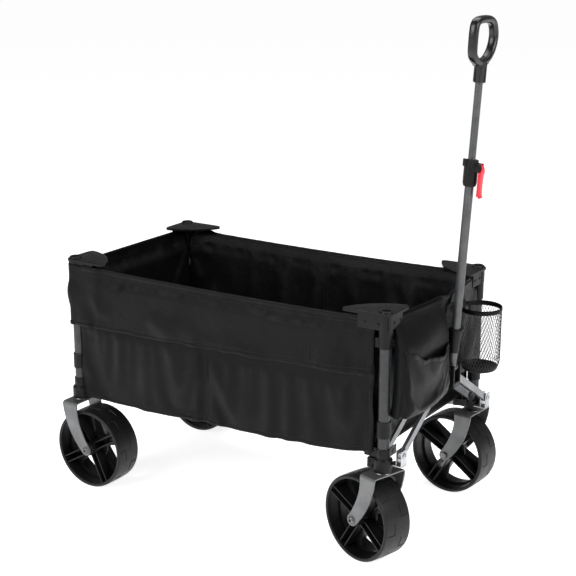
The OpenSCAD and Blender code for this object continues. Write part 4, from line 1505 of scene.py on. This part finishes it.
def front_pocket():
    size = (0.238, 0.118)

    def place(u, v):
        base = bag_point(0.05 + 0.91 * u, 0)
        belly = math.sin(math.pi * min(1, max(0, u))) ** 0.5
        low = BAG_LOW * MM + 10 * MM * (1 - belly)
        z = low + v * (pocket_top(u) - low)
        base.x += (3 + 17 * belly * glide([(0, 0.35), (0.25, 0.85), (0.6, 1), (1, 0.8)], v)) * MM
        base.x += crease((base.y * 1.5, 6, z), 14, 7 * MM, 61) * v
        base.z = z
        return base

    cells = (32, 18)
    cloth = cloth_grid("front_pocket", size, cells, place)
    hang(cloth, lambda u, v: 1.0 if v < 0.04 or min(u, 1 - u) < 0.04 else 0.25 if v > 0.95 else 0.0,
         0.03, 7 * MM, gravity=0.7)
    at = surface_of(cloth, cells)
    lip = binding("front_pocket_hem", row(at, (0, 0.985), (1, 0.985), 80), 9, 3)
    rows = [row(at, (0.03, 0.9), (0.97, 0.9), 60), row(at, (0.74, 0.03), (0.74, 0.97), 40),
            row(at, (0.755, 0.03), (0.755, 0.97), 40), row(at, (0.04, 0.05), (0.96, 0.05), 60),
            row(at, (0.03, 0.05), (0.03, 0.95), 40), row(at, (0.97, 0.05), (0.97, 0.95), 40)]
    sewing = stitches("front_pocket_stitches", rows, (1, 0, 0))
    fold_short(cloth, 1)
    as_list(trim_short(1, lip, sewing))
    return cloth


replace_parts(end_lining(-1), "rear_panel")
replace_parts(end_lining(1), "front_panel")
end_skirt(-1, -END_WIDE, END_WIDE, FLOOR_Z + 2 * MM)
end_skirt(1, 20 * MM, END_WIDE - 4 * MM, 0.334)
front_bag()
front_pocket()
print("made both ends, the bag and its pocket")

# %% [markdown]
# ### The floor
#
# The floor is two stiffened boards in a cloth cover, hinged along the middle,
# so it can fold up as the frame closes. Each has a rolled edge all round.

# %% Floor boards
def floor_board(side):
    low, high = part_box("floor_panel_" + ("right" if side < 0 else "left"))
    size = (high.x - low.x, high.y - low.y)

    def place(u, v):
        x, y = low.x + u * size[0], low.y + v * size[1]
        edge = min(u, 1 - u) * size[0], min(v, 1 - v) * size[1]
        crown = min(1, min(edge) / (12 * MM)) ** 0.5
        wave = crease((x, y, 3 * side), 9, 1.6 * MM, 71)
        return Vector((x, y, low.z + (0.8 + 1.2 * crown) * MM + wave * crown))

    name = "floor_board_cover_" + ("right" if side < 0 else "left")
    cells = (60, 16)
    cloth = cloth_grid(name, size, cells, place)
    at = surface_of(cloth, cells)
    rows = [row(at, (0.01, v), (0.99, v)) for v in (0.04, 0.96)] + [row(at, (u, 0.04), (u, 0.96),
        40) for u in (0.01, 0.99)]
    sewing = stitches("floor_stitches_" + ("right" if side < 0 else "left"), rows, (0, 0, 1))
    body = "floor_board_" + ("right" if side < 0 else "left")
    sewn(cloth, body, (1, 0, 0), (REAR_X, 0, 0), KEEP_X, thickness=1.6)
    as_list(trimmed([sewing], body))
    return cloth


for side, hidden in ((-1, "floor_panel_right"), (1, "floor_panel_left")):
    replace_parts(floor_board(side), hidden)
print("made the floor boards")

# %% [markdown]
# ### The cup holder
#
# The holder is a bag of open net on a wire rim. Its net is two families of
# cords that wind round it in opposite directions: one cord is swept and then
# turned round the axis, which is how a net is knitted on a tube.

# %% Cup holder
CUP_X, CUP_Y, CUP_R = FRONT_X + 62 * MM, 108 * MM, 44.5
CUP_LOW, CUP_HIGH, NET_CORDS = 356, 492, 44


def net_cord(turn, hand):
    """One cord of the net, from the bottom ring to the rim."""
    points = []
    for step in range(19):
        t = step / 18
        angle = turn + hand * t * math.radians(66)
        radius = (CUP_R - 8 * (1 - min(1, t * 6)) ** 2) * MM
        points.append((radius * math.cos(angle), radius * math.sin(angle),
                       (CUP_LOW + t * (CUP_HIGH - CUP_LOW)) * MM))
    return swept(frames_along(points), lambda t: (0.5, 0.5), 4)


cords = []
for k in range(NET_CORDS):
    cords += [net_cord(k * math.tau / NET_CORDS, hand) for hand in (-1, 1)]
net = new_object("cup_net", moved(joined(*cords), Matrix.Translation((CUP_X, CUP_Y, 0))),
                 mesh_fabric, 60)
rim = turned([(44, 489), (45.6, 490), (46, 494), (45.6, 499), (44.8, 500), (43.8, 499), (43.5, 494),
              (43.6, 490)],
             60, closed=True)
base = turned([(0, 353.4), (33, 353.4), (37, 355), (39.4, 358), (40.6, 363), (39.6, 363),
               (38.2, 358.6), (36.4, 356.4),
               (32.6, 355), (0, 355)], 60)
hook = [moved(block((-3, -1.2, 470), (3, 1.2, 500), 0.8),
              Matrix.Rotation(math.radians(a), 4, "Z") @ shift(45.6, 0, 0)
              @ Matrix.Rotation(math.radians(90), 4, "Z")) for a in (150, 200)]
cup = new_object("cup_rim", moved(joined(rim, base, *hook), Matrix.Translation((CUP_X, CUP_Y, 0))),
                 hem_fabric, 50)
for piece in (net, cup):
    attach(piece, "top_fl")
    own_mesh(piece)
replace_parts(net, "cup_holder")
net_faces = len(net.data.polygons)
print("made the cup holder,", net_faces, "faces")
